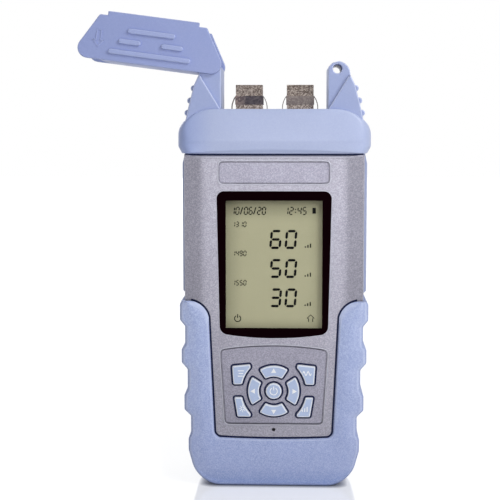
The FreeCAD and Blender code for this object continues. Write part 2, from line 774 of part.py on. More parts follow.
def make_cover():
    """Swinging cover: two plates and the wall between them, with a boss in each plate."""
    piece = Piece("dust_cover")
    front, inner = S.plate_front, S.plate_front - S.plate_thick
    piece.pad("front", -inner, -front, cover_outline())
    top = box(-S.cover_wall_half, S.cover_wall_half, S.cover_top - S.cover_wall, S.cover_top)
    piece.pad("front", inner, -inner, top)
    piece.pad("front", front, inner, cover_outline())
    piece.edges("Fillet", 0.5, level_edges("Y", -front, front))
    ribs = [rib_outline(*bar) for bar in RIBS]
    piece.pad("front", -front, -front - S.rib_height, *ribs)
    piece.pad("front", front, front + S.rib_height, *ribs)
    boss = [(-S.pivot_across, S.pivot_up, S.boss)]
    piece.pad("front", -inner, S.boss_length - inner, circles=boss)
    piece.pad("front", inner, inner - S.boss_length, circles=boss)
    pivot = Vector(-S.pivot_across.number, 0, S.pivot_up.number)
    turn = Rotation(Vector(0, 1, 0), -S.open_angle.number)
    piece.body.Placement = Placement(Vector(0, 0, 0), turn, pivot)


# left end, right end and height of each raised bar on the closed cover
RIBS = [(-9.9, 10.1, 183.9), (5.5, 14.3, 189.0), (-14.3, -5.5, 189.0), (-18.4, 18.5, 194.1)]


# ---------------------------------------------------------------- inside

def make_board():
    """Circuit board on the front shell's four short posts, and its sounder."""
    board = Piece("main_board")
    back = S.board_thick - S.board_front
    board.pad("front", back, -S.board_front, box(-30.0, 30.0, 18.0, 146.0))
    board.cut("front", -S.board_front, back, circles=[(x, z, 1.2) for x, z in BOARD_SPOTS])
    buzzer = Piece("buzzer")
    buzzer.pad("front", -S.board_front, -15.5, circles=[(0.0, 26.0, 4.2)])
    buzzer.cut("front", -15.5, -14.5, circles=[(0.0, 27.3, 1.0)])


def make_power():
    """Three cells side by side in the bay, between two rows of contacts."""
    centre = 2.2 + S.cell.number
    high = S.cell_low + S.cell_length
    cells = Piece("battery_cell_1"), Piece("battery_cell_2"), Piece("battery_cell_3")
    for i, cell in enumerate(cells):
        x = S.cell_pitch * (i - 1.0)
        cell.pad("top", S.cell_low, high, circles=[(x, centre, S.cell)])
        cell.pad("top", high, high + 1.0, circles=[(x, centre, 2.7)])
    contacts = {"contacts_upper": (high + 1.0, 81.1), "contacts_lower": (29.4, S.cell_low)}
    for name, (low, top) in contacts.items():
        contact = Piece(name)
        contact.pad("top", low, top, box(-25.0, 25.0, 4.0, 15.0))


def make_screws(name, spots, along, length, radius, head, head_height):
    """A group of like slotted screws: a spot is under the head, along points to the tip."""
    turn = Rotation(Vector(0, 0, 1), along)
    group = []
    for i, (x, y, z) in enumerate(spots):
        x, z = as_size(x), as_size(z)
        seat = Placement(Vector(x.number, y, z.number), turn)

        def shape(kind, word, start):
            made = doc.addObject(kind, f"{name}_{word}_{i + 1}")
            made.Placement = seat.multiply(Placement(start, Rotation()))
            for axis, place in (("x", x), ("z", z)):
                if "sizes." in place.text and word != "slot":
                    made.setExpression(f"Placement.Base.{axis}", place.text)
            return made

        shank = shape("Part::Cylinder", "shank", Vector(0, 0, 0))
        shank.Radius, shank.Height = radius, length
        top = shape("Part::Cylinder", "head", Vector(0, 0, -head_height))
        top.Radius, top.Height = head, head_height
        slot = shape("Part::Box", "slot", Vector(-head * 0.7, -head * 0.15, -head_height))
        slot.Length, slot.Width, slot.Height = head * 1.4, head * 0.3, head_height * 0.45
        blank = doc.addObject("Part::Fuse", f"{name}_blank_{i + 1}")
        blank.Base, blank.Tool = shank, top
        slotted = doc.addObject("Part::Cut", f"{name}_{i + 1}")
        slotted.Base, slotted.Tool = blank, slot
        group.append(slotted)
    whole = group[0]
    if len(group) > 1:
        whole = doc.addObject("Part::Compound", name)
        whole.Links = group
    whole.Label = name
    parts[name] = whole


def make_fasteners():
    """Case, board and door screws, and the two that hold the adapter plate."""
    forward, up = Vector(0, -1, 0), Vector(0, 0, 1)
    behind = -S.board_front.number + S.board_thick.number
    make_screws("case_screws", [(x, 18.6, z) for x, z in SCREW_SPOTS], forward, 29.0, 1.15, 2.2, 1.1)
    make_screws("board_screws", [(x, behind, z) for x, z in BOARD_SPOTS], forward, 6.4, 0.88, 2.0, 1.2)
    make_screws("door_screw", [(0.0, 19.3, S.door_screw_up)], forward, 9.0, 1.05, 2.0, 0.6)
    plate_spots = [(side * S.plate_screw_across, 0.0, 170.5) for side in (-1, 1)]
    make_screws("plate_screws", plate_spots, up, 4.6, 0.95, 2.1, 1.3)


make_front_shell()
make_rear_shell()
make_battery_door()
make_top_cap()
make_ears()
make_boot()
make_display()
make_keys()
make_adapter("left", -1.0)
make_adapter("right", 1.0)
make_adapter_plate()
make_cover()
make_board()
make_power()
make_fasteners()

# ---------------------------------------------------------------- check and write

doc.recompute()
for item in doc.Objects:
    if "Invalid" in item.State or "Error" in item.State:
        raise RuntimeError(f"{item.Name} did not recompute: {item.State}")
os.makedirs("parts", exist_ok=True)
for name, item in parts.items():
    if item.Shape.isNull() or not item.Shape.isValid():
        raise RuntimeError(f"{name} is not a sound solid")
for name, item in parts.items():
    item.Shape.exportStep(f"parts/{name}.step")
    print(f"{name}: {len(item.Shape.Solids)} solid, {item.Shape.Volume:.0f} mm3")
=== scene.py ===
import logging
import math
from dataclasses import dataclass, field
from enum import Enum

import bmesh
import bpy
import numpy as np
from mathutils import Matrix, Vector
from mathutils.geometry import delaunay_2d_cdt


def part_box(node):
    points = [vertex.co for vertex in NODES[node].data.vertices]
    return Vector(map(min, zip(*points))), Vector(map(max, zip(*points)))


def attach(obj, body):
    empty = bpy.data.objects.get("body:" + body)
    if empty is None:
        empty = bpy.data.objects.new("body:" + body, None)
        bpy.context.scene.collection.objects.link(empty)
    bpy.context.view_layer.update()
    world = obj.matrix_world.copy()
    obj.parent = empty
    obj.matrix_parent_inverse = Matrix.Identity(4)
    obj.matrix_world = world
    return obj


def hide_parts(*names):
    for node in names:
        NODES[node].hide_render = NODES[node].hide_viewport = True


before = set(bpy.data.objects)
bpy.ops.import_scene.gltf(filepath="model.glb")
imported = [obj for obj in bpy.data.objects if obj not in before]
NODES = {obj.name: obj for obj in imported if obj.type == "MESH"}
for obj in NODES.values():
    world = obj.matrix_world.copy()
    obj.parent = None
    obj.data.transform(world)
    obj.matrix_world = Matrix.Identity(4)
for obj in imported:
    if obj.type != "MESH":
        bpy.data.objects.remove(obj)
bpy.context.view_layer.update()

# Dressed handheld optical power meter. Sizes are in millimetres and become metres in the meshes.
# Outlines are seen from the front, (across, up) with +X to the right; depth runs along Y, front is -Y.

MM = 0.001
Array = np.ndarray
Colour = tuple[float, float, float, float]
WHITE_LIGHT: Colour = (1.0, 1.0, 1.0, 1.0)
RIM_FADE = 0.12  # span of |normal Y| over which a rim's colour ends
FINE_STEPS = 4000  # points on a path in which the nearest one is looked up
CLEAR_OF_RIM = 0.45  # extra points of a fill stay this far from its loops
log = logging.getLogger("meter")


def srgb(red: int, green: int, blue: int) -> Colour:
    """Linear colour of an 8-bit display colour.

    Args:
        red, green, blue: 0 to 255.

    Returns:
        The linear colour with alpha 1.
    """
    parts = [c / 255.0 for c in (red, green, blue)]
    linear = [p / 12.92 if p <= 0.04045 else ((p + 0.055) / 1.055) ** 2.4 for p in parts]
    return (*linear, 1.0)


def node_box(name: str) -> tuple[Array, Array]:
    """Lowest and highest corner of a CAD node, in millimetres."""
    low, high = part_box(name)
    return np.array(low) / MM, np.array(high) / MM


# ---------------------------------------------------------------- outlines


def arc(centre: tuple[float, float], radius: float, start: float, end: float, count: int = 12) -> Array:
    """Points of a circular arc: centre plus radius times (cos, sin) of angles in degrees."""
    angle = np.radians(np.linspace(start, end, count))
    return np.array(centre) + radius * np.stack([np.cos(angle), np.sin(angle)], 1)


def circle(centre: tuple[float, float], radius: float, count: int = 32) -> Array:
    """Points of a full circle, anticlockwise."""
    return arc(centre, radius, 0.0, 360.0, count + 1)[:-1]


def bulge(start: tuple[float, float], end: tuple[float, float], radius: float, turn: int, count: int = 14) -> Array:
    """Arc of a radius between two points.

    The centre lies on the chord's perpendicular bisector, sqrt(radius^2 - half chord^2) from it.

    Args:
        start, end: its ends.
        radius: its radius.
        turn: 1 for an arc that turns left on its way, -1 for right.
        count: number of points, both ends among them.

    Returns:
        The points.
    """
    a, b = np.array(start, float), np.array(end, float)
    chord = b - a
    left = np.array([-chord[1], chord[0]]) / np.linalg.norm(chord)
    centre = (a + b) / 2 + left * turn * math.sqrt(max(0.0, radius**2 - (chord @ chord) / 4))
    first = math.degrees(math.atan2(*(a - centre)[::-1]))
    last = math.degrees(math.atan2(*(b - centre)[::-1]))
    while turn > 0 and last < first:
        last += 360.0
    while turn < 0 and last > first:
        last -= 360.0
    return arc(tuple(centre), radius, first, last, count)


def mirrored(half: Array) -> Array:
    """A closed outline from its right half, which is listed upwards from the bottom."""
    return np.vstack([half, half[::-1] * (-1, 1)])


def flipped(outline: Array) -> Array:
    """An outline on the other side of X = 0, still anticlockwise."""
    return outline[::-1] * (-1, 1)


def handed(outline: Array, hand: int) -> Array:
    """An outline as it stands, or on the other side of X = 0 if hand is negative."""
    return outline if hand > 0 else flipped(outline)


def both_sides(half: Array) -> Array:
    """An open path on both sides of X = 0, from its right half, which starts in the middle."""
    return np.vstack([half[:0:-1] * (-1, 1), half])


def oblong(half: float, rise: tuple[float, float]) -> Array:
    """A rectangle of a half-width about X = 0, between two heights."""
    return mirrored(np.array([(half, up) for up in rise]))


def leftward(ahead: Array) -> Array:
    """Unit vectors to the left of the given directions."""
    left = np.stack([-ahead[:, 1], ahead[:, 0]], 1)
    return left / np.maximum(np.linalg.norm(left, axis=1, keepdims=True), 1e-9)


def resample(path: Array, count: int, closed: bool = True) -> Array:
    """Points at even steps of length along a path.

    Args:
        path: the path.
        count: number of points.
        closed: whether it is a loop.

    Returns:
        The points.
    """
    loop = np.vstack([path, path[:1]]) if closed else path
    along = np.concatenate([[0.0], np.cumsum(np.hypot(*np.diff(loop, axis=0).T))])
    at = np.linspace(0.0, along[-1], count, endpoint=not closed)
    return np.stack([np.interp(at, along, loop[:, k]) for k in (0, 1)], 1)


def soften(path: Array, radius: float, closed: bool = True) -> Array:
    """Rounds the corners of an evenly spaced path by averaging it with a bell-shaped window.

    Args:
        path: evenly spaced points.
        radius: roughly the radius that a square corner gets.
        closed: whether the path is a loop; an open path is carried on straight past its ends.

    Returns:
        As many points as there were.
    """
    spacing = float(np.mean(np.hypot(*np.diff(path, axis=0).T)))
    sigma = 0.55 * radius / spacing
    reach = max(1, int(math.ceil(3 * sigma)))
    window = np.exp(-0.5 * (np.arange(-reach, reach + 1) / max(sigma, 1e-6)) ** 2)
    window /= window.sum()
    if closed:
        padded = np.take(path, np.arange(-reach, len(path) + reach), axis=0, mode="wrap")
    else:
        head = 2 * path[0] - path[reach:0:-1]
        tail = 2 * path[-1] - path[-2 : -reach - 2 : -1]
        padded = np.vstack([head, path, tail])
    return np.stack([np.convolve(padded[:, k], window, "valid") for k in (0, 1)], 1)


def inset(outline: Array, amount: float) -> Array:
    """A closed outline drawn in along the mitre of each corner, the sum of its two edges' normals.

    Args:
        outline: the outline, anticlockwise.
        amount: how far it is drawn in; it grows if negative.

    Returns:
        As many points as there were.
    """
    normal = leftward(np.roll(outline, -1, axis=0) - outline)
    mitre = normal + np.roll(normal, 1, axis=0)
    mitre /= np.maximum((mitre**2).sum(1, keepdims=True) / 2, 0.25)
    return outline + mitre * amount


def quarter(edge: float, steps: int = 4) -> tuple[Array, Array]:
    """Profile of a rounded edge, from a narrow strip of the face to the side.

    Args:
        edge: radius of the rounding.
        steps: number of strips in the rounding.

    Returns:
        How far each point is drawn in, edge * (1 - sin t), and how far it lies below the face,
        edge * (1 - cos t).
    """
    turn = np.linspace(0.0, math.pi / 2, steps + 1)
    drawn, sunk = edge * (1 - np.sin(turn)), edge * (1 - np.cos(turn))
    return np.insert(drawn, 0, drawn[0] + 0.1 * edge), np.insert(sunk, 0, 0.0)


def inside(points: Array, outline: Array) -> Array:
    """Tells which points lie in a closed outline, by counting the edges to the right of each.

    Args:
        points: the points.
        outline: the outline.

    Returns:
        A truth value for each point.
    """
    x, y = points[:, None, 0], points[:, None, 1]
    x0, y0 = outline[None, :, 0], outline[None, :, 1]
    x1, y1 = np.roll(outline, -1, axis=0)[None, :, 0], np.roll(outline, -1, axis=0)[None, :, 1]
    spans = (y0 > y) != (y1 > y)
    rise = np.where(y1 == y0, 1e-12, y1 - y0)
    return (spans & (x < x0 + (y - y0) * (x1 - x0) / rise)).sum(1) % 2 == 1


# ---------------------------------------------------------------- surfaces


class Surface:
    """A mesh put together from grids and flat fills, in millimetres."""

    def __init__(self) -> None:
        """Starts empty."""
        self.points: list[Array] = []
        self.faces: list[Array] = []
        self.count = 0

    def add(self, points: Array) -> Array:
        """Adds points.

        Args:
            points: the points, in any shape that ends in 3.

        Returns:
            Their numbers.
        """
        self.points.append(points.reshape(-1, 3))
        numbers = np.arange(self.count, self.count + len(self.points[-1]))
        self.count += len(numbers)
        return numbers

    def grid(self, points: Array, wrap_rows: bool = False, wrap_columns: bool = True) -> Array:
        """Adds a grid of points and the quads between its neighbours.

        Args:
            points: rows by columns by 3.
            wrap_rows: whether the last row joins the first.
            wrap_columns: whether the last column joins the first.

        Returns:
            The numbers of its points, rows by columns.
        """
        numbers = self.add(points).reshape(points.shape[:2])
        n = np.vstack([numbers, numbers[:1]]) if wrap_rows else numbers
        n = np.hstack([n, n[:, :1]]) if wrap_columns else n
        self.faces.append(np.stack([n[:-1, :-1], n[:-1, 1:], n[1:, 1:], n[1:, :-1]], -1).reshape(-1, 4))
        return numbers

    def fill(self, numbers: Array, holes: tuple[Array, ...] = (), axes: tuple[int, int] = (0, 2),
             extra: Array | None = None) -> None:
        """Closes a flat loop of points with triangles.

        Args:
            numbers: the loop's points.
            holes: loops that stay open in it.
            axes: the two coordinates in which the loop is seen flat.
            extra: further points in it, in those two coordinates, through which its triangles pass.
        """
        loops = [numbers, *holes]
        everything = np.concatenate(self.points)
        edges, start = [], 0
        for loop in loops:
            ring = np.arange(start, start + len(loop))
            edges += list(zip(ring.tolist(), np.roll(ring, -1).tolist()))
            start += len(loop)
        order = np.concatenate(loops)
        rims = [everything[loop][:, axes] for loop in loops]
        if extra is not None:
            kept = inside(extra, rims[0])
            for rim in rims[1:]:
                kept &= ~inside(extra, rim)
            for rim in rims:
                kept &= (np.hypot(*(extra[:, None] - rim[None]).transpose(2, 0, 1)) > CLEAR_OF_RIM).all(1)
            added = np.repeat(everything[numbers[:1]], kept.sum(), axis=0)
            added[:, axes] = extra[kept]
            order = np.concatenate([order, self.add(added)])
            everything = np.concatenate(self.points)
        flat = everything[order][:, axes]
        found, _, triangles, origins, _, _ = delaunay_2d_cdt([Vector(p) for p in flat], edges, [], 1, 1e-6)
        back = np.array([o[0] if o else -1 for o in origins])
        tri = np.array([t for t in triangles if len(t) == 3])
        middle = np.array([tuple(v) for v in found])[tri].mean(1)
        keep = inside(middle, rims[0])
        for rim in rims[1:]:
            keep &= ~inside(middle, rim)
        tri = back[tri[keep]]
        self.faces.append(order[tri[(tri >= 0).all(1)]])

    def close(self, rows: Array, axes: tuple[int, int] = (0, 2)) -> None:
        """Closes both ends of a grid, seen flat in two coordinates."""
        self.fill(rows[0], axes=axes)
        self.fill(rows[-1], axes=axes)

    def wall(self, outline: Array, offsets: Array, depths: Array, closed: bool = False) -> Array:
        """Carries a profile round a closed outline: each row is the outline drawn in, at its depth.

        Args:
            outline: closed outline, (across, up).
            offsets: how far each row is drawn in.
            depths: the Y of each row.
            closed: whether the profile is a loop.

        Returns:
            The numbers of its points, a row for each point of the profile.
        """
        rows = [np.insert(inset(outline, o), 1, y, axis=1) for o, y in zip(offsets, depths)]
        return self.grid(np.array(rows), wrap_rows=closed)

    def slab(self, outline: Array, front: float, back: float, edge: float = 0.0,
             holes: tuple[Array, ...] = ()) -> None:
        """A plate between two depths with rounded edges and round-edged through holes.

        Args:
            outline: its outline.
            front, back: the Y of its faces, front the lower.
            edge: radius of its edges.
            holes: outlines of holes, anticlockwise.
        """
        drawn, sunk = quarter(edge)
        offsets = np.concatenate([drawn, drawn[::-1]])
        depths = np.concatenate([front + sunk, back - sunk[::-1]])
        outer = self.wall(outline, offsets, depths)
        inner = [self.wall(hole, -offsets, depths) for hole in holes]
        self.fill(outer[0], tuple(w[0] for w in inner))
        self.fill(outer[-1], tuple(w[-1] for w in inner))

    def ribbon(self, path: Array, width: float, front: float, back: float, closed: bool = False) -> None:
        """A flat bar that follows a path: four corners of its section at each point.

        Args:
            path: its middle line.
            width: its width.
            front, back: the Y of its faces.
            closed: whether it is a loop.
        """
        ahead = np.roll(path, -1, 0) - np.roll(path, 1, 0) if closed else np.gradient(path, axis=0)
        normal = leftward(ahead)
        sides = [path + normal * width / 2, path - normal * width / 2]
        corners = [(sides[0], front), (sides[1], front), (sides[1], back), (sides[0], back)]
        numbers = self.grid(np.stack([np.insert(p, 1, y, axis=1) for p, y in corners], 1), wrap_rows=closed)
        if not closed:
            self.faces.append(numbers[[0, -1]])

    def power_sign(self, centre: tuple[float, float], radius: float, bar: tuple[float, float], front: float,
                   back: float) -> None:
        """An open ring with an upright bar in its gap.

        Args:
            centre: its middle.
            radius: the ring's radius.
            bar: where the bar starts and ends above the middle.
            front, back: the Y of its faces.
        """
        self.ribbon(arc(centre, radius, 120.0, 420.0, 28), 0.42, front, back)
        self.ribbon(np.array([(centre[0], centre[1] + rise) for rise in bar]), 0.42, front, back)

    def build(self, name: str, slot: str, finish: "Finishes", body: str = "case", crease: float = 35.0,
              replaces: tuple[str, ...] = ()) -> None:
        """Makes the object, which lies in its place with its origin at the scene's.

        Args:
            name: its name.
            slot: the record's material slot; not used.
            finish: its finish.
            body: the CAD body that it rides on.
            crease: edges sharper than this many degrees stay sharp.
            replaces: CAD nodes that it stands for.
        """
        mesh = bpy.data.meshes.new(name)
        faces = [tuple(f) for block in self.faces for f in block.tolist()]
        mesh.from_pydata((np.concatenate(self.points) * MM).tolist(), [], faces)
        work = bmesh.new()
        work.from_mesh(mesh)
        bmesh.ops.remove_doubles(work, verts=work.verts, dist=1e-7)
        bmesh.ops.dissolve_degenerate(work, edges=work.edges, dist=1e-8)
        bmesh.ops.recalc_face_normals(work, faces=work.faces)
        work.to_mesh(mesh)
        work.free()
        mesh.shade_smooth()
        mesh.set_sharp_from_angle(angle=math.radians(crease))
        mesh.materials.append(finish.value.material())
        piece = bpy.data.objects.new(name, mesh)
        bpy.context.scene.collection.objects.link(piece)
        if replaces:
            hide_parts(*replaces)
        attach(piece, body)
        log.info("%s: %d faces on %s", name, len(mesh.polygons), body)


# ---------------------------------------------------------------- finishes


Value = bpy.types.NodeSocket | float | Colour


class Wiring:
    """Adds nodes to a shader tree and links them."""

    def __init__(self, tree: bpy.types.NodeTree) -> None:
        """Takes the tree."""
        self.tree = tree

    def feed(self, node: bpy.types.Node, inputs: dict[str | int, Value]) -> None:
        """Links each input that is given a socket, and sets each that is given a plain value.

        Args:
            node: the node.
            inputs: a socket or a plain value by input.
        """
        for key, value in inputs.items():
            if isinstance(value, bpy.types.NodeSocket):
                self.tree.links.new(value, node.inputs[key])
            else:
                node.inputs[key].default_value = value

    def add(self, kind: str, inputs: dict[str | int, Value] | None = None, **settings: object) -> bpy.types.Node:
        """Adds a node.

        Args:
            kind: its type, without ShaderNode in front.
            inputs: a socket or a plain value for each input, by name or number.
            settings: its own properties, which are set first.

        Returns:
            The node.
        """
        node = self.tree.nodes.new(f"ShaderNode{kind}")
        for title, value in settings.items():
            setattr(node, title, value)
        self.feed(node, inputs or {})
        return node

    def math(self, operation: str, *values: Value, clamp: bool = False) -> bpy.types.NodeSocket:
        """The result of a Math node on sockets or numbers."""
        return self.add("Math", dict(enumerate(values)), operation=operation, use_clamp=clamp).outputs["Value"]

    def ramp(self, value: Value, start: float, end: float, low: float = 0.0, high: float = 1.0,
             shape: str = "LINEAR") -> bpy.types.NodeSocket:
        """The value, brought from the range start to end into the range low to high and held there."""
        inputs = {"Value": value, "From Min": start, "From Max": end, "To Min": low, "To Max": high}
        return self.add("MapRange", inputs, interpolation_type=shape).outputs["Result"]

    def mix(self, factor: Value, first: Value, second: Value, blend: str = "MIX") -> bpy.types.NodeSocket:
        """Two colours mixed by a factor."""
        inputs = {"Factor": factor, 6: first, 7: second}
        return self.add("Mix", inputs, data_type="RGBA", blend_type=blend).outputs[2]

    def parts(self, vector: bpy.types.NodeSocket) -> bpy.types.NodeOutputs:
        """The X, Y and Z of a vector."""
        return self.add("SeparateXYZ", {"Vector": vector}).outputs

    def scaled(self, colour: bpy.types.NodeSocket, factor: Value) -> bpy.types.NodeSocket:
        """A colour times a factor."""
        return self.add("VectorMath", {0: colour, "Scale": factor}, operation="SCALE").outputs["Vector"]


def grain_group() -> bpy.types.NodeTree:
    """Moulding grain: soft patches, fine flecks and a pebbled relief, as a node group.

    The colour is the base darkened and lightened by a wide noise, then mixed with the fleck colour
    by a random amount in each small cell. The normal is the relief of a fine noise.
    """
    group = bpy.data.node_groups.new("moulding_grain", "ShaderNodeTree")
    sockets = {"Vector": "Vector", "Base": "Color", "Fleck": "Color", "Fleck Amount": "Float", "Patches": "Float",
               "Grain Scale": "Float", "Relief": "Float", "Roughness": "Float"}
    for title, kind in sockets.items():
        group.interface.new_socket(title, in_out="INPUT", socket_type=f"NodeSocket{kind}")
    for title, kind in {"Color": "Color", "Roughness": "Float", "Normal": "Vector"}.items():
        group.interface.new_socket(title, in_out="OUTPUT", socket_type=f"NodeSocket{kind}")
    source = group.nodes.new("NodeGroupInput").outputs
    wires = Wiring(group)
    place, cell_scale = source["Vector"], source["Grain Scale"]
    wide = wires.add("TexNoise", {"Vector": place, "Scale": 55.0, "Detail": 3.0}).outputs["Fac"]
    fine = wires.add("TexNoise", {"Vector": place, "Scale": cell_scale, "Detail": 2.0, "Roughness": 0.6})
    cells = wires.add("TexVoronoi", {"Vector": place, "Scale": cell_scale})
    draw = wires.add("SeparateColor", {"Color": cells.outputs["Color"]}).outputs["Red"]
    swing = wires.ramp(wide, 0.3, 0.7, -1.0)
    shade = wires.scaled(source["Base"], wires.math("MULTIPLY_ADD", swing, source["Patches"], 1.0))
    amount = wires.math("MULTIPLY", wires.ramp(draw, 0.25, 0.95), source["Fleck Amount"])
    bump = wires.add("Bump", {"Strength": source["Relief"], "Distance": 0.0002, "Height": fine.outputs["Fac"]})
    wires.feed(group.nodes.new("NodeGroupOutput"), {
        "Color": wires.mix(amount, shade, source["Fleck"]),
        "Roughness": wires.math("MULTIPLY_ADD", swing, 0.06, source["Roughness"]),
        "Normal": bump.outputs["Normal"],
    })
    return group


@dataclass(frozen=True)
class Tint:
    """A tone that multiplies the colour over a ramp, from start to end in mm along an axis, where |X| < half; most
    tints here are painted shade, and the cover's is a painted highlight.
    """

    colour: Colour
    axis: str
    start: float
    end: float
    half: float = 500.0

    def laid(self, wires: Wiring, colour: bpy.types.NodeSocket, place: bpy.types.NodeSocket) -> bpy.types.NodeSocket:
        """Multiplies the colour by the tone over the ramp.

        Args:
            wires: the material's tree.
            colour: the colour so far.
            place: the object coordinates.

        Returns:
            The new colour.
        """
        parts = wires.parts(place)
        within = wires.math("LESS_THAN", wires.math("ABSOLUTE", parts["X"]), self.half * MM)
        mask = wires.math("MULTIPLY", wires.ramp(parts[self.axis], self.start * MM, self.end * MM), within)
        return wires.mix(mask, colour, self.colour, "MULTIPLY")


@dataclass(frozen=True)
class Finish:
    """A procedural finish: grain, flecks and gloss on one Principled shader, with a painted highlight on rounded edges,
    tints over ramps and a display's painted edge shade.
    """

    name: str
    colour: Colour
    fleck: Colour
    fleck_amount: float = 0.15
    patches: float = 0.03
    grain: float = 1500.0
    relief: float = 0.08
    roughness: float = 0.45
    metallic: float = 0.0
    specular: float = 0.5
    alpha: float = 1.0
    # rim: colour of a painted highlight on rounded edges; rim_amount is its strength, rim_turn the |normal Y| over
    # which it comes in, rim_end where it stops
    rim: Colour | None = None
    rim_amount: float = 0.0
    rim_turn: tuple[float, float] = (0.97, 0.75)
    rim_end: float = -1.0
    # painted shade of the bezel towards a display's edges, most at the top
    painted_edge_shade: float = 0.0
    # tints: tones over ramps, most of them painted shade
    tints: tuple[Tint, ...] = ()

    def material(self) -> bpy.types.Material:
        """The material, made the first time that it is asked for."""
        title = f"finish_{self.name}"
        made = bpy.data.materials.get(title)
        if made is not None:
            return made
        made = bpy.data.materials.new(title)
        made.use_nodes = True
        wires = Wiring(made.node_tree)
        place = wires.add("TexCoord").outputs["Object"]
        grain = wires.add("Group", {
            "Vector": place, "Base": self.colour, "Fleck": self.fleck, "Fleck Amount": self.fleck_amount,
            "Patches": self.patches, "Grain Scale": self.grain, "Relief": self.relief, "Roughness": self.roughness,
        }, node_tree=bpy.data.node_groups.get("moulding_grain") or grain_group()).outputs
        # painted highlight on the rounded edges, then the tints, most of them painted shade
        colour = self.add_painted_edge_highlight(wires, grain["Color"])
        for tint in self.tints:
            colour = tint.laid(wires, colour, place)
        # painted shade of the bezel on the display
        if self.painted_edge_shade:
            colour = self.add_painted_edge_shade(wires, colour, place)
        wires.feed(made.node_tree.nodes["Principled BSDF"], {
            "Base Color": colour, "Roughness": grain["Roughness"], "Normal": grain["Normal"],
            "Metallic": self.metallic, "Specular IOR Level": self.specular, "Alpha": self.alpha,
        })
        return made

    def add_painted_edge_highlight(self, wires: Wiring, colour: bpy.types.NodeSocket) -> bpy.types.NodeSocket:
        """Lays the rim's colour, a painted highlight, over the rounded edges, where |normal Y| falls between two
        values.

        Args:
            wires: the material's tree.
            colour: the colour so far.

        Returns:
            The new colour.
        """
        if self.rim is None:
            return colour
        level = wires.math("ABSOLUTE", wires.parts(wires.add("NewGeometry").outputs["Normal"])["Y"])
        turned = wires.ramp(level, *self.rim_turn, high=self.rim_amount)
        ending = wires.ramp(level, self.rim_end - RIM_FADE, self.rim_end)
        return wires.mix(wires.math("MULTIPLY", turned, ending), colour, self.rim)

    def add_painted_edge_shade(self, wires: Wiring, colour: bpy.types.NodeSocket, place: bpy.types.NodeSocket) -> bpy.types.NodeSocket:
        """Painted shade of the bezel: darkens the display towards its edges, most at the top.

        Each edge takes away part of the painted shade, which dies out over a few millimetres:
        the colour times 1 - painted_edge_shade * sum of part * (a smooth step from reach away to the edge).

        Args:
            wires: the material's tree.
            colour: the colour so far.
            place: the object coordinates.

        Returns:
            The new colour.
        """
        low, high = (corner * MM for corner in node_box("display_lens"))
        parts = wires.parts(place)
        edges = (("Z", high[2], -0.011, 1.0), ("Z", low[2], 0.006, 0.35), ("X", low[0], 0.009, 0.55),
                 ("X", high[0], -0.008, 0.4))
        shares = [wires.ramp(parts[axis], float(edge + reach), float(edge), high=part * self.painted_edge_shade, shape="SMOOTHSTEP")
                  for axis, edge, reach, part in edges]
        total = shares[0]
        for share in shares[1:]:
            total = wires.math("ADD", total, share)
        return wires.scaled(colour, wires.math("SUBTRACT", 1.0, total, clamp=True))


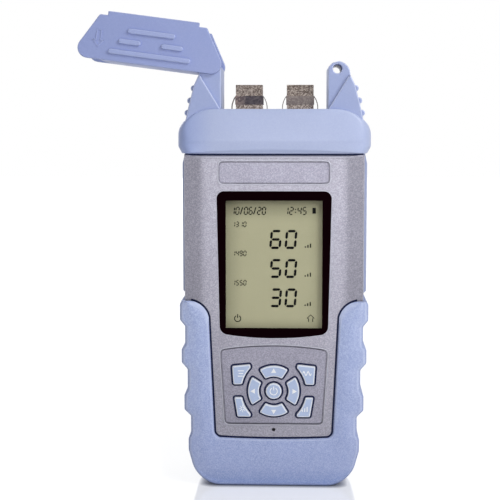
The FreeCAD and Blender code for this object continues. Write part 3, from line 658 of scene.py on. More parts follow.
class Finishes(Enum):
    """Every finish on the meter."""

    # Painted sheen: the cap is the ears' blue plastic made lighter; its tint is painted shade, darker and bluer towards
    # its left end.
    CAP = Finish("cap_satin", srgb(181, 192, 227), srgb(196, 206, 234), 0.3, 0.02, 2200.0, 0.04, 0.36, specular=0.4,
                 tints=(Tint((0.74, 0.81, 1.0, 1.0), "X", -28.0, -45.0),))
    # rim: painted highlight on the ears' rounded edges and the raised triangle's bevel
    EAR = Finish("ear_satin", srgb(156, 169, 212), srgb(172, 184, 222), 0.3, 0.02, 2200.0, 0.04, 0.42,
                 rim=srgb(214, 222, 250), rim_amount=0.7, rim_turn=(0.985, 0.9), rim_end=0.4)
    # rim: painted highlight on the cover's rounded edges and bars; tint: painted highlight, lighter on the faces of the
    # front bars and arrow
    COVER = Finish("cover_satin", srgb(149, 162, 213), srgb(163, 176, 222), 0.3, 0.02, 2200.0, 0.05, 0.42,
                   rim=srgb(182, 194, 232), rim_amount=0.5, rim_turn=(0.985, 0.9), rim_end=0.5,
                   tints=(Tint((1.17, 1.15, 1.08, 1.0), "Y", -17.05, -17.3),))
    # rim: painted highlight on the lip and rounded edges; tints: painted shade, darker towards the foot and most on the
    # rounded bottom edge by the floor
    BOOT = Finish("boot_rubber", srgb(166, 180, 224), srgb(208, 219, 246), 0.62, 0.03, 2700.0, 0.5, 0.6, specular=0.12,
                  rim=srgb(208, 217, 246), rim_amount=0.6, rim_turn=(0.99, 0.93), rim_end=0.8,
                  tints=(Tint((0.88, 0.88, 0.91, 1.0), "Z", 72.0, 22.0), Tint((0.74, 0.8, 0.9, 1.0), "Z", 9.0, 2.0)))
    REAR = Finish("rear_plastic", srgb(166, 177, 212), srgb(186, 196, 224), 0.25, 0.02, 1500.0, 0.12, 0.5)
    # rim: painted highlight on rounded edges and recess walls. Tints: darker and a little bluer on the sunk surfaces
    # near the middle; painted shade, darker towards the bottom; painted shade on both side facets.
    PAINT = Finish("grey_paint", srgb(147, 145, 158), srgb(199, 197, 210), 0.5, 0.02, 2700.0, 0.12, 0.42, metallic=0.45,
                   rim=srgb(226, 225, 235), rim_amount=0.6, rim_turn=(0.968, 0.88), rim_end=0.45,
                   tints=(Tint((0.88, 0.88, 0.92, 1.0), "Y", -18.8, -18.45, 31.0),
                          Tint((0.64, 0.64, 0.65, 1.0), "Z", 118.0, 18.0),
                          Tint((0.83, 0.83, 0.84, 1.0), "X", -30.8, -34.2),
                          Tint((0.81, 0.81, 0.82, 1.0), "X", 30.8, 34.2)))
    # Painted highlight: a lighter copy of the grey paint for the beads round the recesses, with the same painted shade
    # towards the bottom.
    BEAD_HIGHLIGHT = Finish("grey_paint_bead_highlight", srgb(184, 184, 197), srgb(214, 214, 224), 0.4, 0.02, 2700.0, 0.08, 0.38,
                  metallic=0.3, tints=(Tint((0.64, 0.64, 0.65, 1.0), "Z", 118.0, 18.0),))
    BEZEL = Finish("bezel_black", srgb(15, 2, 6), srgb(20, 5, 10), 0.2, 0.1, 900.0, 0.0, 0.3, specular=0.0)
    # painted shade of the bezel towards the display's edges, most at the top
    DISPLAY = Finish("display_olive", srgb(197, 194, 160), srgb(201, 198, 166), 0.3, 0.03, 1400.0, 0.0, 0.7,
                     specular=0.05, painted_edge_shade=0.38)
    INK = Finish("segment_black", srgb(14, 14, 15), srgb(24, 24, 24), 0.3, 0.05, 1200.0, 0.0, 0.7, specular=0.05)
    FAINT_INK = Finish("segment_grey", srgb(50, 50, 42), srgb(66, 64, 54), 0.3, 0.05, 1200.0, 0.0, 0.7, specular=0.05)
    WINDOW = Finish("window_clear", srgb(60, 62, 60), srgb(72, 74, 72), 0.2, 0.02, 300.0, 0.0, 0.25, specular=0.1,
                    alpha=0.04)
    # rim: painted highlight, a bright line round each key's bevelled edge
    KEY = Finish("key_blue", srgb(175, 191, 224), srgb(190, 204, 232), 0.3, 0.02, 2200.0, 0.04, 0.4,
                 rim=srgb(236, 240, 248), rim_amount=0.95, rim_turn=(0.995, 0.965))
    LEGEND = Finish("legend_white", srgb(246, 247, 250), srgb(236, 238, 244), 0.2, 0.01, 1500.0, 0.0, 0.5)
    # the keypad mat's navy rubber; the same navy paints the shade in the boot's groove and the seam under the cap
    GAP = Finish("navy_mat_and_gap_shade", srgb(18, 26, 64), srgb(25, 34, 76), 0.3, 0.03, 1200.0, 0.05, 0.6, specular=0.2)
    # tint: painted shade, darker above the clip
    ADAPTER = Finish("adapter_nickel", srgb(114, 99, 91), srgb(226, 213, 200), 0.75, 0.12, 2000.0, 0.35, 0.5,
                     metallic=0.3, specular=0.3, tints=(Tint((0.66, 0.65, 0.65, 1.0), "Z", 183.0, 185.0),))
    CLIP = Finish("clip_steel", srgb(60, 54, 60), srgb(108, 100, 102), 0.6, 0.2, 1100.0, 0.1, 0.45,
                  metallic=0.3, specular=0.2, tints=(Tint((3.0, 2.7, 2.2, 1.0), "X", -13.0, -18.8),))
    CLIP_PALE = Finish("clip_steel_pale", srgb(104, 94, 92), srgb(150, 140, 134), 0.5, 0.15, 1500.0, 0.1, 0.45,
                       metallic=0.35, specular=0.3)
    CERAMIC = Finish("sleeve_ceramic", srgb(228, 226, 218), srgb(238, 236, 230), 0.2, 0.02, 900.0, 0.0, 0.25)
    GILT = Finish("can_gilt", srgb(196, 176, 128), srgb(214, 198, 150), 0.3, 0.05, 900.0, 0.05, 0.3, metallic=0.9)
    STEEL = Finish("screw_zinc", srgb(168, 168, 172), srgb(206, 206, 208), 0.4, 0.08, 1500.0, 0.15, 0.35, metallic=0.9)
    WHITE = Finish("light_guide", srgb(232, 232, 228), srgb(240, 240, 236), 0.2, 0.02, 900.0, 0.02, 0.5)
    RUBBER = Finish("contact_rubber", srgb(74, 74, 78), srgb(96, 96, 100), 0.3, 0.05, 900.0, 0.1, 0.75)
    BOARD = Finish("board_green", srgb(38, 104, 66), srgb(60, 128, 86), 0.3, 0.08, 700.0, 0.08, 0.45)
    BLACK = Finish("sounder_black", srgb(30, 30, 32), srgb(48, 48, 50), 0.3, 0.05, 900.0, 0.1, 0.55)
    CELL = Finish("cell_wrap", srgb(96, 98, 108), srgb(128, 130, 140), 0.3, 0.04, 700.0, 0.02, 0.3, metallic=0.4)


# ---------------------------------------------------------------- casing


@dataclass
class FrontShell:
    """Grey front half: side facets, rounded rims round its recesses and wells for display and keys."""

    face: float = -19.0
    edge: float = 2.2
    recess: float = 0.6
    well: float = 3.0
    key_well: float = 4.6
    moat_deep: float = 1.1
    facet_start: float = 34.2
    facet_slope: float = 0.19
    facet_blend: float = 0.8
    facet_lines: tuple[float, ...] = (30.0, 31.5, 32.6, 33.4, 34.2, 35.0, 36.0, 37.5)
    corner: tuple[float, float] = (24.5, 14.64)
    top: float = 156.5
    groove: float = 0.9
    groove_lap: float = 0.5
    groove_deep: float = 3.6
    rim: float = 0.12
    label_half: float = 25.7
    label_rise: tuple[float, float] = (143.1, 153.4)
    label_round: float = 2.7
    label_moat: float = 0.38
    pad_moat: float = 0.5
    hole: tuple[float, float] = (0.0, 27.3)
    hole_radius: float = 0.85
    hole_deep: float = 6.0
    collar: tuple[float, float] = (0.3, 2.6)  # front and back, behind the keypad recess's floor
    collar_gap: float = 0.08
    collar_lap: float = 0.3
    # depth of the dark strip that paints the shade in the boot's groove
    groove_shade_sunk: float = 0.45
    # gasket band under the cap, whose navy paints the shade of that seam
    gasket: tuple[tuple[float, float], ...] = ((-41.2, -17.2), (-36.0, -18.35), (36.0, -18.35), (41.2, -17.2),
                                               (41.2, -10.0), (-41.2, -10.0))
    gasket_rise: tuple[float, float] = (-0.3, 1.1)  # from the top of the shell

    def outline(self) -> Array:
        """Outline of the front half, whose foot stands a little inside the boot's."""
        bottom = arc(self.corner, self.corner[1] - 2.2, -90.0, -12.4, 14)
        side = [(37.2, 30.0), (40.2, 80.0), (41.6, 88.6), (41.8, 91.0), (41.8, 152.0)]
        lip = np.stack([np.linspace(38.6, 0.2, 49), np.full(49, self.top)], 1)
        return mirrored(np.vstack([resample(np.vstack([bottom, side]), 250, False), [(41.8, self.top)], lip]))

    def facet_points(self) -> Array:
        """Points on upright lines across the flat face and the facets, close enough to carry a crease."""
        across = np.array([side * x for x in self.facet_lines for side in (-1, 1)])
        up = np.arange(6.0, self.top - 2.0, 0.8)
        return np.stack(np.meshgrid(across, up), -1).reshape(-1, 2)

    def fall(self, points: Array) -> Array:
        """Depth after the side facets: a soft corner, slope * (t + sqrt(t^2 + blend^2)) / 2 past its start.

        Args:
            points: points of the shell.

        Returns:
            The new Y of each.
        """
        past = np.abs(points[:, 0]) - self.facet_start
        drop = self.facet_slope * (past + np.sqrt(past**2 + self.facet_blend**2)) / 2
        flat = self.face + drop
        return np.where(points[:, 1] < -1.0, np.maximum(points[:, 1], flat), points[:, 1])

    def pocket(self, surface: Surface, outline: Array, top: float, floor: float, rim: float) -> tuple[Array, Array]:
        """Rounded rim and wall of a recess.

        Args:
            surface: where they go.
            outline: the recess.
            top, floor: the Y of its rim and of its floor.
            rim: radius of the rim.

        Returns:
            The numbers of its top and bottom loops.
        """
        drawn, sunk = quarter(rim, 4)
        rows = surface.wall(outline, np.append(-drawn, 0.0), np.append(top + sunk, floor))
        return rows[0], rows[-1]

    def moated(self, surface: Surface, outline: Array, moat: float) -> tuple[Array, Array]:
        """Rim, wall and narrow moat of a shallow recess.

        Args:
            surface: where they go.
            outline: the recess.
            moat: width of the moat.

        Returns:
            The numbers of its top loop and of its floor's loop.
        """
        drawn, sunk = quarter(0.25, 3)
        low = self.recess + self.moat_deep
        offsets = np.concatenate([-drawn, [0.0, 0.0, moat, moat + 0.12]])
        depths = np.concatenate([sunk, [self.recess, low, low, self.recess]]) + self.face
        rows = surface.wall(outline, offsets, depths)
        return rows[0], rows[-1]

    def bead(self, surface: Surface, outline: Array, width: float, height: float) -> None:
        """A low rounded bead round a recess: a closed section carried round its outline.

        Args:
            surface: where it goes.
            outline: the recess.
            width, height: the bead's size.
        """
        offsets = -width * np.array([1.0, 0.84, 0.63, 0.37, 0.13, 0.0, 0.0, 1.0])
        rise = np.array([0.0, 0.6, 0.95, 0.95, 0.5, -0.4, -3.0, -3.0])
        surface.wall(outline, offsets, self.face - height * rise, closed=True)

    def groove_outline(self, mouth: Array) -> Array:
        """The groove in which the boot's mouth stands: a band along its edge, partly under it.

        Args:
            mouth: the boot's edge, from left to right.

        Returns:
            The band's outline.
        """
        path = resample(mouth[np.abs(mouth[:, 0]) < 39.0], 700, False)
        inward = leftward(np.gradient(path, axis=0))
        return np.vstack([path - inward * self.groove_lap, (path + inward * self.groove)[::-1]])

    def build(self, keypad: "Keypad", bezel: "Bezel", mouth: Array) -> None:
        """Builds and dresses it.

        Args:
            keypad: the keys that it leaves room for.
            bezel: the display's frame that it leaves room for.
            mouth: the boot's edge on its face, from left to right.
        """
        surface = Surface()
        drawn, sunk = quarter(self.edge, 6)
        rows = surface.wall(self.outline(), np.append(drawn, 0.0), np.append(self.face + sunk, -0.02))
        label = soften(resample(oblong(self.label_half, self.label_rise), 240), self.label_round)
        frame_edge, pad, groove = bezel.outline(), keypad.recess_outline(), self.groove_outline(mouth)
        floor = self.face + self.recess
        label_top, label_low = self.moated(surface, label, self.label_moat)
        bezel_top, bezel_low = self.pocket(surface, frame_edge, self.face, self.face + self.well, 0.3)
        pad_top, pad_low = self.moated(surface, pad, self.pad_moat)
        hole = circle(self.hole, self.hole_radius, 20)
        hole_top, hole_low = self.pocket(surface, hole, self.face, self.face + self.hole_deep, 0.1)
        groove_top, groove_low = self.pocket(surface, groove, self.face, self.face + self.groove_deep, self.rim)
        surface.fill(rows[0], (label_top, bezel_top, pad_top, hole_top, groove_top), extra=self.facet_points())
        for loop in (rows[-1], label_low, bezel_low, hole_low, groove_low):
            surface.fill(loop)
        wells = [self.pocket(surface, inset(key, -keypad.gap), floor, self.face + self.key_well, self.rim)
                 for key in keypad.outlines().values()]
        surface.fill(pad_low, tuple(w[0] for w in wells))
        for _, low in wells:
            surface.fill(low)
        for block in surface.points:
            block[:, 1] = self.fall(block)
        surface.build("front_casing", "shell_grey", Finishes.PAINT, crease=28.0, replaces=("front_shell",))
        beads = Surface()
        for outline, width, height in ((label, 0.68, 0.2), (pad, 0.62, 0.16), (frame_edge, 0.42, 0.1)):
            self.bead(beads, outline, width, height)
        # the beads take the painted highlight, a lighter copy of the grey paint
        beads.build("recess_beads", "shell_grey", Finishes.BEAD_HIGHLIGHT, crease=60.0)
        self.dark_gap_pieces(keypad, groove)

    def dark_gap_pieces(self, keypad: "Keypad", groove: Array) -> None:
        """Builds the dark pieces in the gaps: the mat's navy collars round the keys, whose dark is partly painted
        shade, a dark strip that paints the shade in the boot's groove, and a gasket band whose navy paints the shade of
        the seam under the cap.

        Args:
            keypad: the keys.
            groove: the groove's outline.
        """
        # the mat's navy collars round the keys; their dark in the gaps is partly painted shade
        collars = Surface()
        floor = self.face + self.recess
        near, far = self.collar
        for key in keypad.outlines().values():
            hole = inset(key, -self.collar_gap)
            collars.slab(inset(key, -keypad.gap - self.collar_lap), floor + near, floor + far, holes=(hole,))
        collars.build("mat_collars", "soft_mat", Finishes.GAP)
        # painted shade: a dark strip down in the boot's groove
        strip = Surface()
        strip.slab(groove, self.face + self.groove_shade_sunk, self.face + self.groove_deep)
        for block in strip.points:
            block[:, 1] += self.facet_slope * np.maximum(np.abs(block[:, 0]) - self.facet_start, 0.0)
        strip.build("mouth_groove_shade", "soft_mat", Finishes.GAP)
        # gasket band under the cap, whose navy paints the seam's shade
        gasket = Surface()
        rings = [np.insert(np.array(self.gasket), 2, self.top + rise, axis=1) for rise in self.gasket_rise]
        gasket.close(gasket.grid(np.array(rings)), axes=(0, 1))
        gasket.build("cap_gasket_shade", "soft_mat", Finishes.GAP)


class KeyName(Enum):
    """The nine keys by the names of their bodies."""

    POWER = "key_power"
    UP = "key_up"
    LEFT = "key_left"
    DOWN = "key_down"
    RIGHT = "key_right"
    UPPER_LEFT = "key_upper_left"
    UPPER_RIGHT = "key_upper_right"
    LOWER_LEFT = "key_lower_left"
    LOWER_RIGHT = "key_lower_right"


@dataclass
class Keypad:
    """The keys and the symbols on them."""

    centre: tuple[float, float] = (0.0, 45.8)
    gap: float = 0.9
    front: float = -19.7
    back: float = -16.0
    print_height: float = 0.03
    print_sunk: float = 0.02
    field_low: tuple[float, float] = (23.0, 29.9)
    field_high: tuple[float, float] = (25.2, 65.4)
    field_bow: float = 150.0
    field_round: float = 2.6
    power_radius: float = 3.7
    corner: float = 0.75
    arrow_from_middle: float = 9.5
    ring: tuple[float, float] = (7.0, 12.0)
    half_angle: float = 33.0
    arrows: dict[KeyName, float] = field(default_factory=lambda: {
        KeyName.RIGHT: 0.0, KeyName.UP: 90.0, KeyName.LEFT: 180.0, KeyName.DOWN: 270.0})

    def recess_outline(self) -> Array:
        """Outline of the sunk field round the keys, bowed at its top."""
        half = np.array([self.field_low, self.field_high])
        wide, up = self.field_high
        top = bulge((wide, up), (-wide, up), self.field_bow, 1, 9)[1:-1]
        loop = np.vstack([half, top, half[::-1] * (-1, 1)])
        return soften(resample(loop, 360), self.field_round)

    def outlines(self) -> dict[KeyName, Array]:
        """Outline of every key: the round one, four ring segments and four corner keys, in that order.

        Returns:
            The outlines by key.
        """
        inner, outer = self.ring
        found = {KeyName.POWER: circle(self.centre, self.power_radius, 48)}
        for name, middle in self.arrows.items():
            low, high = middle - self.half_angle, middle + self.half_angle
            loop = np.vstack([arc(self.centre, outer, low, high, 18), arc(self.centre, inner, high, low, 12)])
            found[name] = soften(resample(loop, 150), self.corner)
        upper = np.vstack([[(14.9, 3.2), (18.9, 3.1), (19.5, 11.7), (11.2, 12.6)],
                           bulge((10.8, 11.1), (14.9, 3.2), 15.5, -1, 10)[:-1]])
        lower = np.vstack([[(10.9, -12.3), (17.0, -12.3), (18.5, -3.1)],
                           bulge((14.9, -3.1), (10.8, -11.1), 15.5, -1, 10)])
        for name, shape, hand in ((KeyName.UPPER_LEFT, upper, -1), (KeyName.UPPER_RIGHT, upper, 1),
                                  (KeyName.LOWER_LEFT, lower, -1), (KeyName.LOWER_RIGHT, lower, 1)):
            found[name] = soften(resample(handed(shape, hand), 150), self.corner) + np.array(self.centre)
        return found

    def symbol(self, name: KeyName) -> Surface:
        """The printed symbol of a key: a triangle, the power sign, rays, a wave, lines or level bars.

        Args:
            name: the key.

        Returns:
            The symbol, in its place.
        """
        mark = Surface()
        faces = (self.front - self.print_height, self.front + self.print_sunk)
        x, z = self.centre
        if name in self.arrows:
            turn = math.radians(self.arrows[name])
            at = (x + self.arrow_from_middle * math.cos(turn), z + self.arrow_from_middle * math.sin(turn))
            mark.slab(arc(at, 1.4, self.arrows[name], self.arrows[name] + 240.0, 3), *faces)
        elif name is KeyName.POWER:
            mark.power_sign(self.centre, 1.7, (0.5, 2.3), *faces)
        elif name is KeyName.LOWER_LEFT:
            at = np.array((x - 14.6, z - 8.3))
            mark.ribbon(circle(tuple(at), 0.75, 20), 0.34, *faces, closed=True)
            for angle in np.radians(np.arange(0.0, 360.0, 45.0)):
                mark.ribbon(at + np.outer((1.15, 1.75), (math.cos(angle), math.sin(angle))), 0.3, *faces)
        elif name is KeyName.UPPER_RIGHT:
            wave = np.linspace(-2.0, 2.0, 24)
            path = np.stack([wave, 0.95 * np.sin(wave * math.pi)], 1)
            mark.ribbon(np.array((x + 15.6, z + 8.6)) + path, 0.42, *faces)
        elif name is KeyName.UPPER_LEFT:
            for i, length in enumerate((2.9, 2.1, 2.9)):
                line = np.array([(side * length / 2, (i - 1) * 1.25) for side in (-1, 1)])
                mark.ribbon(np.array((x - 15.4, z + 8.4)) + line, 0.4, *faces)
        else:
            for i, height in enumerate((1.0, 1.7, 2.4)):
                line = np.array([((i - 1) * 1.1, up - 1.1) for up in (0.0, height)])
                mark.ribbon(np.array((x + 14.6, z - 8.6)) + line, 0.5, *faces)
        return mark

    def build(self) -> None:
        """Builds the keys, whose edge is a wide shallow bevel before it turns down, and their symbols."""
        offsets = np.array([0.72, 0.64, 0.40, 0.18, 0.05, 0.0, 0.0])
        depths = np.array([0.0, 0.0, 0.05, 0.13, 0.24, 0.45, self.back - self.front]) + self.front
        for name, outline in self.outlines().items():
            key = Surface()
            key.close(key.wall(outline, offsets, depths))
            key.build(f"{name.value}_top", "key_blue", Finishes.KEY, name.value, 40.0, (name.value,))
            self.symbol(name).build(f"{name.value}_print", "key_blue", Finishes.LEGEND, name.value)


# ---------------------------------------------------------------- display


@dataclass
class Bezel:
    """Black frame of the display: narrower and bowed at the bottom, with the window's opening in it."""

    front: float = -19.25
    back: float = -16.9
    edge: float = 0.25
    bow: float = 150.0
    window_half: float = 22.5
    window_rise: tuple[float, float] = (75.4, 135.3)

    def outline(self) -> Array:
        """Its outline: two round corners on each side and a bowed lower edge."""
        half = np.vstack([bulge((21.84, 72.52), (25.3, 76.4), 4.0, 1), bulge((26.6, 136.3), (23.3, 139.6), 3.4, 1)])
        return np.vstack([mirrored(half), bulge((-21.84, 72.52), (21.84, 72.52), self.bow, 1, 25)[1:-1]])

    def build(self) -> None:
        """Builds and dresses it."""
        surface = Surface()
        opening = oblong(self.window_half, self.window_rise)
        surface.slab(self.outline(), self.front, self.back, self.edge, (opening,))
        surface.build("bezel_frame", "bezel_black", Finishes.BEZEL, replaces=("display_bezel",))


@dataclass
class Display:
    """Printed segments and numbers on the display panel."""

    face: float = -16.93
    ink: float = 0.05
    slant: float = 0.09
    segments: dict[str, str] = field(default_factory=lambda: {
        "0": "abcdef", "1": "bc", "2": "abged", "3": "abgcd", "4": "fgbc", "5": "afgcd",
        "6": "afgedc", "7": "abc", "8": "abcdefg", "9": "abfgcd"})

    @property
    def faces(self) -> tuple[float, float]:
        """The Y of the front and the back of the ink."""
        return self.face - self.ink, self.face + self.ink

    def digit(self, surface: Surface, char: str, x: float, z: float, width: float, height: float, bar: float) -> None:
        """Adds one seven-segment digit: a slanted six-cornered bar along each of its segments.

        Args:
            surface: where it goes.
            char: the digit.
            x, z: its lower left corner.
            width, height: its size between the middles of its bars.
            bar: the bars' width.
        """
        h = height / 2
        lines = {"a": ((0, 2), (1, 2)), "b": ((1, 1), (1, 2)), "c": ((1, 0), (1, 1)), "d": ((0, 0), (1, 0)),
                 "e": ((0, 0), (0, 1)), "f": ((0, 1), (0, 2)), "g": ((0, 1), (1, 1))}
        for name in self.segments.get(char, ""):
            a, b = (np.array([u * width, v * h]) for u, v in lines[name])
            along = (b - a) / np.linalg.norm(b - a)
            side = np.array([-along[1], along[0]]) * bar / 2
            a, b = a + along * bar * 0.2, b - along * bar * 0.2
            shape = np.array([a, a + along * bar / 2 - side, b - along * bar / 2 - side, b,
                              b - along * bar / 2 + side, a + along * bar / 2 + side])
            shape[:, 0] += shape[:, 1] * self.slant
            surface.slab(shape + (x, z), *self.faces)

    def row(self, surface: Surface, text: str, x: float, z: float, width: float, height: float, pitch: float,
            bar: float) -> None:
        """Adds a row of digits, in which a slash is a thin bar and a colon two dots.

        Args:
            surface: where it goes.
            text: what it says.
            x, z: its lower left corner.
            width, height: the size of a digit.
            pitch: from one digit to the next.
            bar: the bars' width.
        """
        for char in text:
            if char == "/":
                surface.ribbon(np.array([(x, z), (x + width * 0.75, z + height)]), bar, *self.faces)
                x += pitch * 0.8
            elif char == ":":
                for up in (0.3, 0.7):
                    surface.slab(circle((x + width * 0.3, z + height * up), bar * 0.6, 10), *self.faces)
                x += pitch * 0.6
            else:
                self.digit(surface, char, x, z, width, height, bar)
                x += pitch

    def build(self) -> None:
        """Builds the dark and the faint segments."""
        dark, faint = Surface(), Surface()
        self.row(dark, "10/06/20", -20.1, 128.8, 1.45, 3.3, 2.2, 0.5)
        self.row(dark, "12:45", 4.8, 128.8, 1.5, 3.3, 2.35, 0.5)
        for z, value, label in ((112.3, "60", "1310"), (98.7, "50", "1490"), (84.9, "30", "1550")):
            self.row(dark, value, -1.7, z + 0.9, 4.3, 7.8, 7.1, 1.15)
            self.row(faint, label, -19.5, z + 10.7, 1.1, 2.25, 1.75, 0.42)
            for i in range(3):
                post = np.array([(14.6 + i * 1.2, z + 1.0), (14.6 + i * 1.2, z + 1.7 + 0.6 * i)])
                faint.ribbon(post, 0.6, *self.faces)
        battery = np.array([(17.8, 129.2), (19.4, 129.2), (19.4, 131.9), (17.8, 131.9)])
        dark.slab(battery, *self.faces)
        dark.power_sign((-17.0, 79.8), 1.45, (0.3, 2.1), *self.faces)
        house = np.array([(-1.3, -1.4), (-1.3, 0.2), (-2.3, 0.2), (0.0, 1.9), (2.3, 0.2), (1.3, 0.2), (1.3, -1.4)])
        faint.ribbon(house * (0.75, 1) + (17.2, 79.8), 0.4, *self.faces)
        dark.build("display_segments", "display_olive", Finishes.INK)
        faint.build("display_small_marks", "display_olive", Finishes.FAINT_INK)


# ---------------------------------------------------------------- cap, ears and cover


@dataclass
class TopCap:
    """Pillow-shaped cap with a sunk deck, and the two ears that stand on it."""

    rows: int = 72
    foot: float = 157.0
    foot_bevel: tuple[float, float] = (1.9, 3.3)  # how far it is drawn in, and over which height
    foot_edge: float = 0.5
    foot_drawn: float = 0.9
    shoulder_round: float = 9.0
    shoulder_start: float = 165.3
    rim: float = 3.0
    side_round: float = 11.0
    # half-width of the flat part, how far it tapers, and where that starts and how high it reaches
    inner: tuple[float, float, float, float] = (34.0, 8.0, 169.0, 8.6)
    facet_top: float = 162.6
    facet_drop: float = 1.5
    lean: float = 0.15
    end_bow: float = 2.4
    blend: float = 1.0
    lip: float = 1.5
    deck_half: tuple[float, float] = (24.8, 17.2)
    deck: float = 175.8
    deck_round: float = 0.6
    collar: tuple[float, float, float] = (39.4, 17.0, 3.0)  # half-width, half-depth, corner
    ear_top: float = 199.5
    ear_face: float = 17.0
    ear_sunk: float = 14.7
    pivot: tuple[float, float] = (29.1, 196.0)
    bore: float = 2.1
    ear_side: tuple[tuple[float, float], ...] = ((40.9, 173.5), (39.5, 179.6), (37.1, 188.7))
    grips: tuple[tuple[float, float], ...] = ((37.7, 187.2), (39.4, 181.5), (40.7, 175.8))
    grip_radius: float = 1.5
    grip_face: float = 10.0

    def half_width(self, z: Array, wide: float, top: float) -> Array:
        """Half-width at each height: bevelled at the foot, then a shoulder arc and a crown arc on top.

        Args:
            z: the heights.
            wide: the half-width between the foot and the shoulder.
            top: the height of the top.

        Returns:
            The half-width at each height.
        """
        bend = math.cos(math.pi / 4)
        radius, start = self.shoulder_round, self.shoulder_start
        join = start + radius * bend
        across = wide - radius * (1 - bend)
        crown = (top - join) / (1 - bend)
        drawn, rise = self.foot_bevel
        foot = wide - drawn * np.clip((self.foot + rise - z) / rise, 0, 1)
        shoulder = wide - radius + np.sqrt(np.clip(radius**2 - (z - start) ** 2, 0, None))
        centre = across - crown * bend
        roof = centre + np.sqrt(np.clip(crown**2 - (z - (top - crown)) ** 2, 0, None))
        return np.where(z < start, foot, np.where(z < join, shoulder, roof))

    def ring(self, half: Array, deep: Array, corner: Array, count: int = 14) -> tuple[Array, Array]:
        """Rounded rectangles seen from above.

        Args:
            half: half-width of each row.
            deep: half-depth of each row.
            corner: radius of each row's corners.
            count: points in each corner.

        Returns:
            X and Y, rows by points: each quarter turn is a corner arc about (half - corner, deep - corner).
        """
        straight = np.linspace(-1.0, 1.0, 25)[None, :]
        turn = np.linspace(0.0, math.pi / 2, count)[None, :]
        h, d, c = half[:, None], deep[:, None], corner[:, None]
        parts = [
            (h - c + c * np.sin(turn), -(d - c) - c * np.cos(turn)),
            (h + 0 * straight[:, 1:-1], (d - c) * straight[:, 1:-1]),
            (h - c + c * np.cos(turn), (d - c) + c * np.sin(turn)),
            (-(h - c) * straight[:, 1:-1], d + 0 * straight[:, 1:-1]),
            (-(h - c) - c * np.sin(turn), (d - c) + c * np.cos(turn)),
            (-h + 0 * straight[:, 1:-1], -(d - c) * straight[:, 1:-1]),
            (-(h - c) - c * np.cos(turn), -(d - c) - c * np.sin(turn)),
            ((h - c) * straight[:, 1:-1], -d + 0 * straight[:, 1:-1]),
        ]
        return np.hstack([p[0] for p in parts]), np.hstack([p[1] for p in parts])

    def levels(self, size: tuple[float, float, float], heights: tuple[float, ...]) -> list[Array]:
        """Level rings of one half-width, half-depth and corner, one at each height."""
        x, y = self.ring(*(np.full(1, value) for value in size))
        return [np.stack([x, y, np.full_like(x, height)], -1) for height in heights]

    def pillow(self, surface: Surface) -> None:
        """The cap's outside, lofted upwards from its foot, with the sunk deck on top.

        The front and back are the smooth lesser of the ring's depth and a slope: the lesser of two
        values a and b is (a + b - sqrt((a - b)^2 + blend^2)) / 2.

        Args:
            surface: where it goes.
        """
        low, high = node_box("top_cap")
        foot, top, deep = self.foot, high[2], high[1]
        z = foot + (top - foot) * (1 - np.cos(np.linspace(0.0, math.pi, self.rows))) / 2
        half = self.half_width(z, high[0], top)
        flat, taper, taper_start, taper_reach = self.inner
        past = np.clip(z - taper_start, 0, None) / taper_reach
        inner = flat - taper * (1 - np.sqrt(np.clip(1 - past**2, 0, 1)))
        over = np.clip(z - (top - self.rim), 0, self.rim)
        depth = deep - (self.rim - np.sqrt(self.rim**2 - over**2))
        under = np.clip(foot + self.foot_edge - z, 0, self.foot_edge)
        tuck = self.foot_edge - np.sqrt(self.foot_edge**2 - under**2)
        x, y = self.ring(half - tuck, depth - tuck, np.clip(half - inner, 2.4, self.side_round))
        up = np.repeat(z[:, None], x.shape[1], 1)
        slope = deep - self.facet_drop * np.clip((self.facet_top - up) / (self.facet_top - foot), 0, None)
        slope -= self.lean * (np.sqrt(np.clip(up - self.facet_top, 0, None) ** 2 + 1.0) - 1.0)
        lip_top = foot + 0.35 + self.lip * np.clip(1 - (x / 40.0) ** 2, 0, None)
        slope -= self.foot_drawn * np.clip((lip_top - up) / (lip_top - foot + 1e-6), 0, 1)
        slope -= self.end_bow * np.clip((np.abs(x) - 16.0) / 26.0, 0, 1) ** 2 * np.clip((up - foot) / 5.0, 0, 1)
        gap = np.abs(y) - slope
        y = np.sign(y) * (np.abs(y) + slope - np.sqrt(gap**2 + self.blend**2)) / 2
        collar = self.levels(self.collar, (low[2], foot))
        sunk = self.levels((*self.deck_half, self.deck_round), (top, top - 0.25, self.deck))
        rings = np.concatenate([*collar, np.stack([x, y, up], -1), *sunk])
        surface.close(surface.grid(rings), axes=(0, 1))

    def ear(self, surface: Surface, hand: int) -> None:
        """One ear: a sunk face with the bore, a raised triangle outside it and three round grips.

        Args:
            surface: where it goes.
            hand: -1 for the left ear, 1 for the right one.
        """
        top = self.ear_top
        tip = bulge((35.0, 193.0), (29.6, top), 6.0, 1)
        whole = np.vstack([[(24.8, 168.0), (41.4, 168.0), *self.ear_side], tip, [(26.7, top - 0.8), (24.8, top - 2.8)]])
        raised = np.array([(41.4, 170.0), *self.ear_side, (35.0, 193.0), (34.7, 193.5), (24.8, 177.3), (24.8, 170.0)])
        bore = handed(circle(self.pivot, self.bore, 40), hand)
        surface.slab(handed(soften(resample(whole, 220), 0.5), hand), -self.ear_sunk, self.ear_sunk, 0.55, (bore,))
        surface.slab(handed(soften(resample(raised, 220), 0.45), hand), -self.ear_face, self.ear_face, 0.7)
        for x, z in self.grips:
            surface.slab(circle((hand * x, z), self.grip_radius, 28), -self.grip_face, self.grip_face, 0.7)

    def build(self) -> None:
        """Builds and dresses the cap."""
        surface = Surface()
        self.pillow(surface)
        surface.build("cap_body", "cap_blue", Finishes.CAP, crease=26.0, replaces=("top_cap",))
        for hand, side in ((-1, "left"), (1, "right")):
            surface = Surface()
            self.ear(surface, hand)
            surface.build(f"ear_{side}", "cap_blue", Finishes.EAR, crease=26.0, replaces=(f"cap_ear_{side}",))


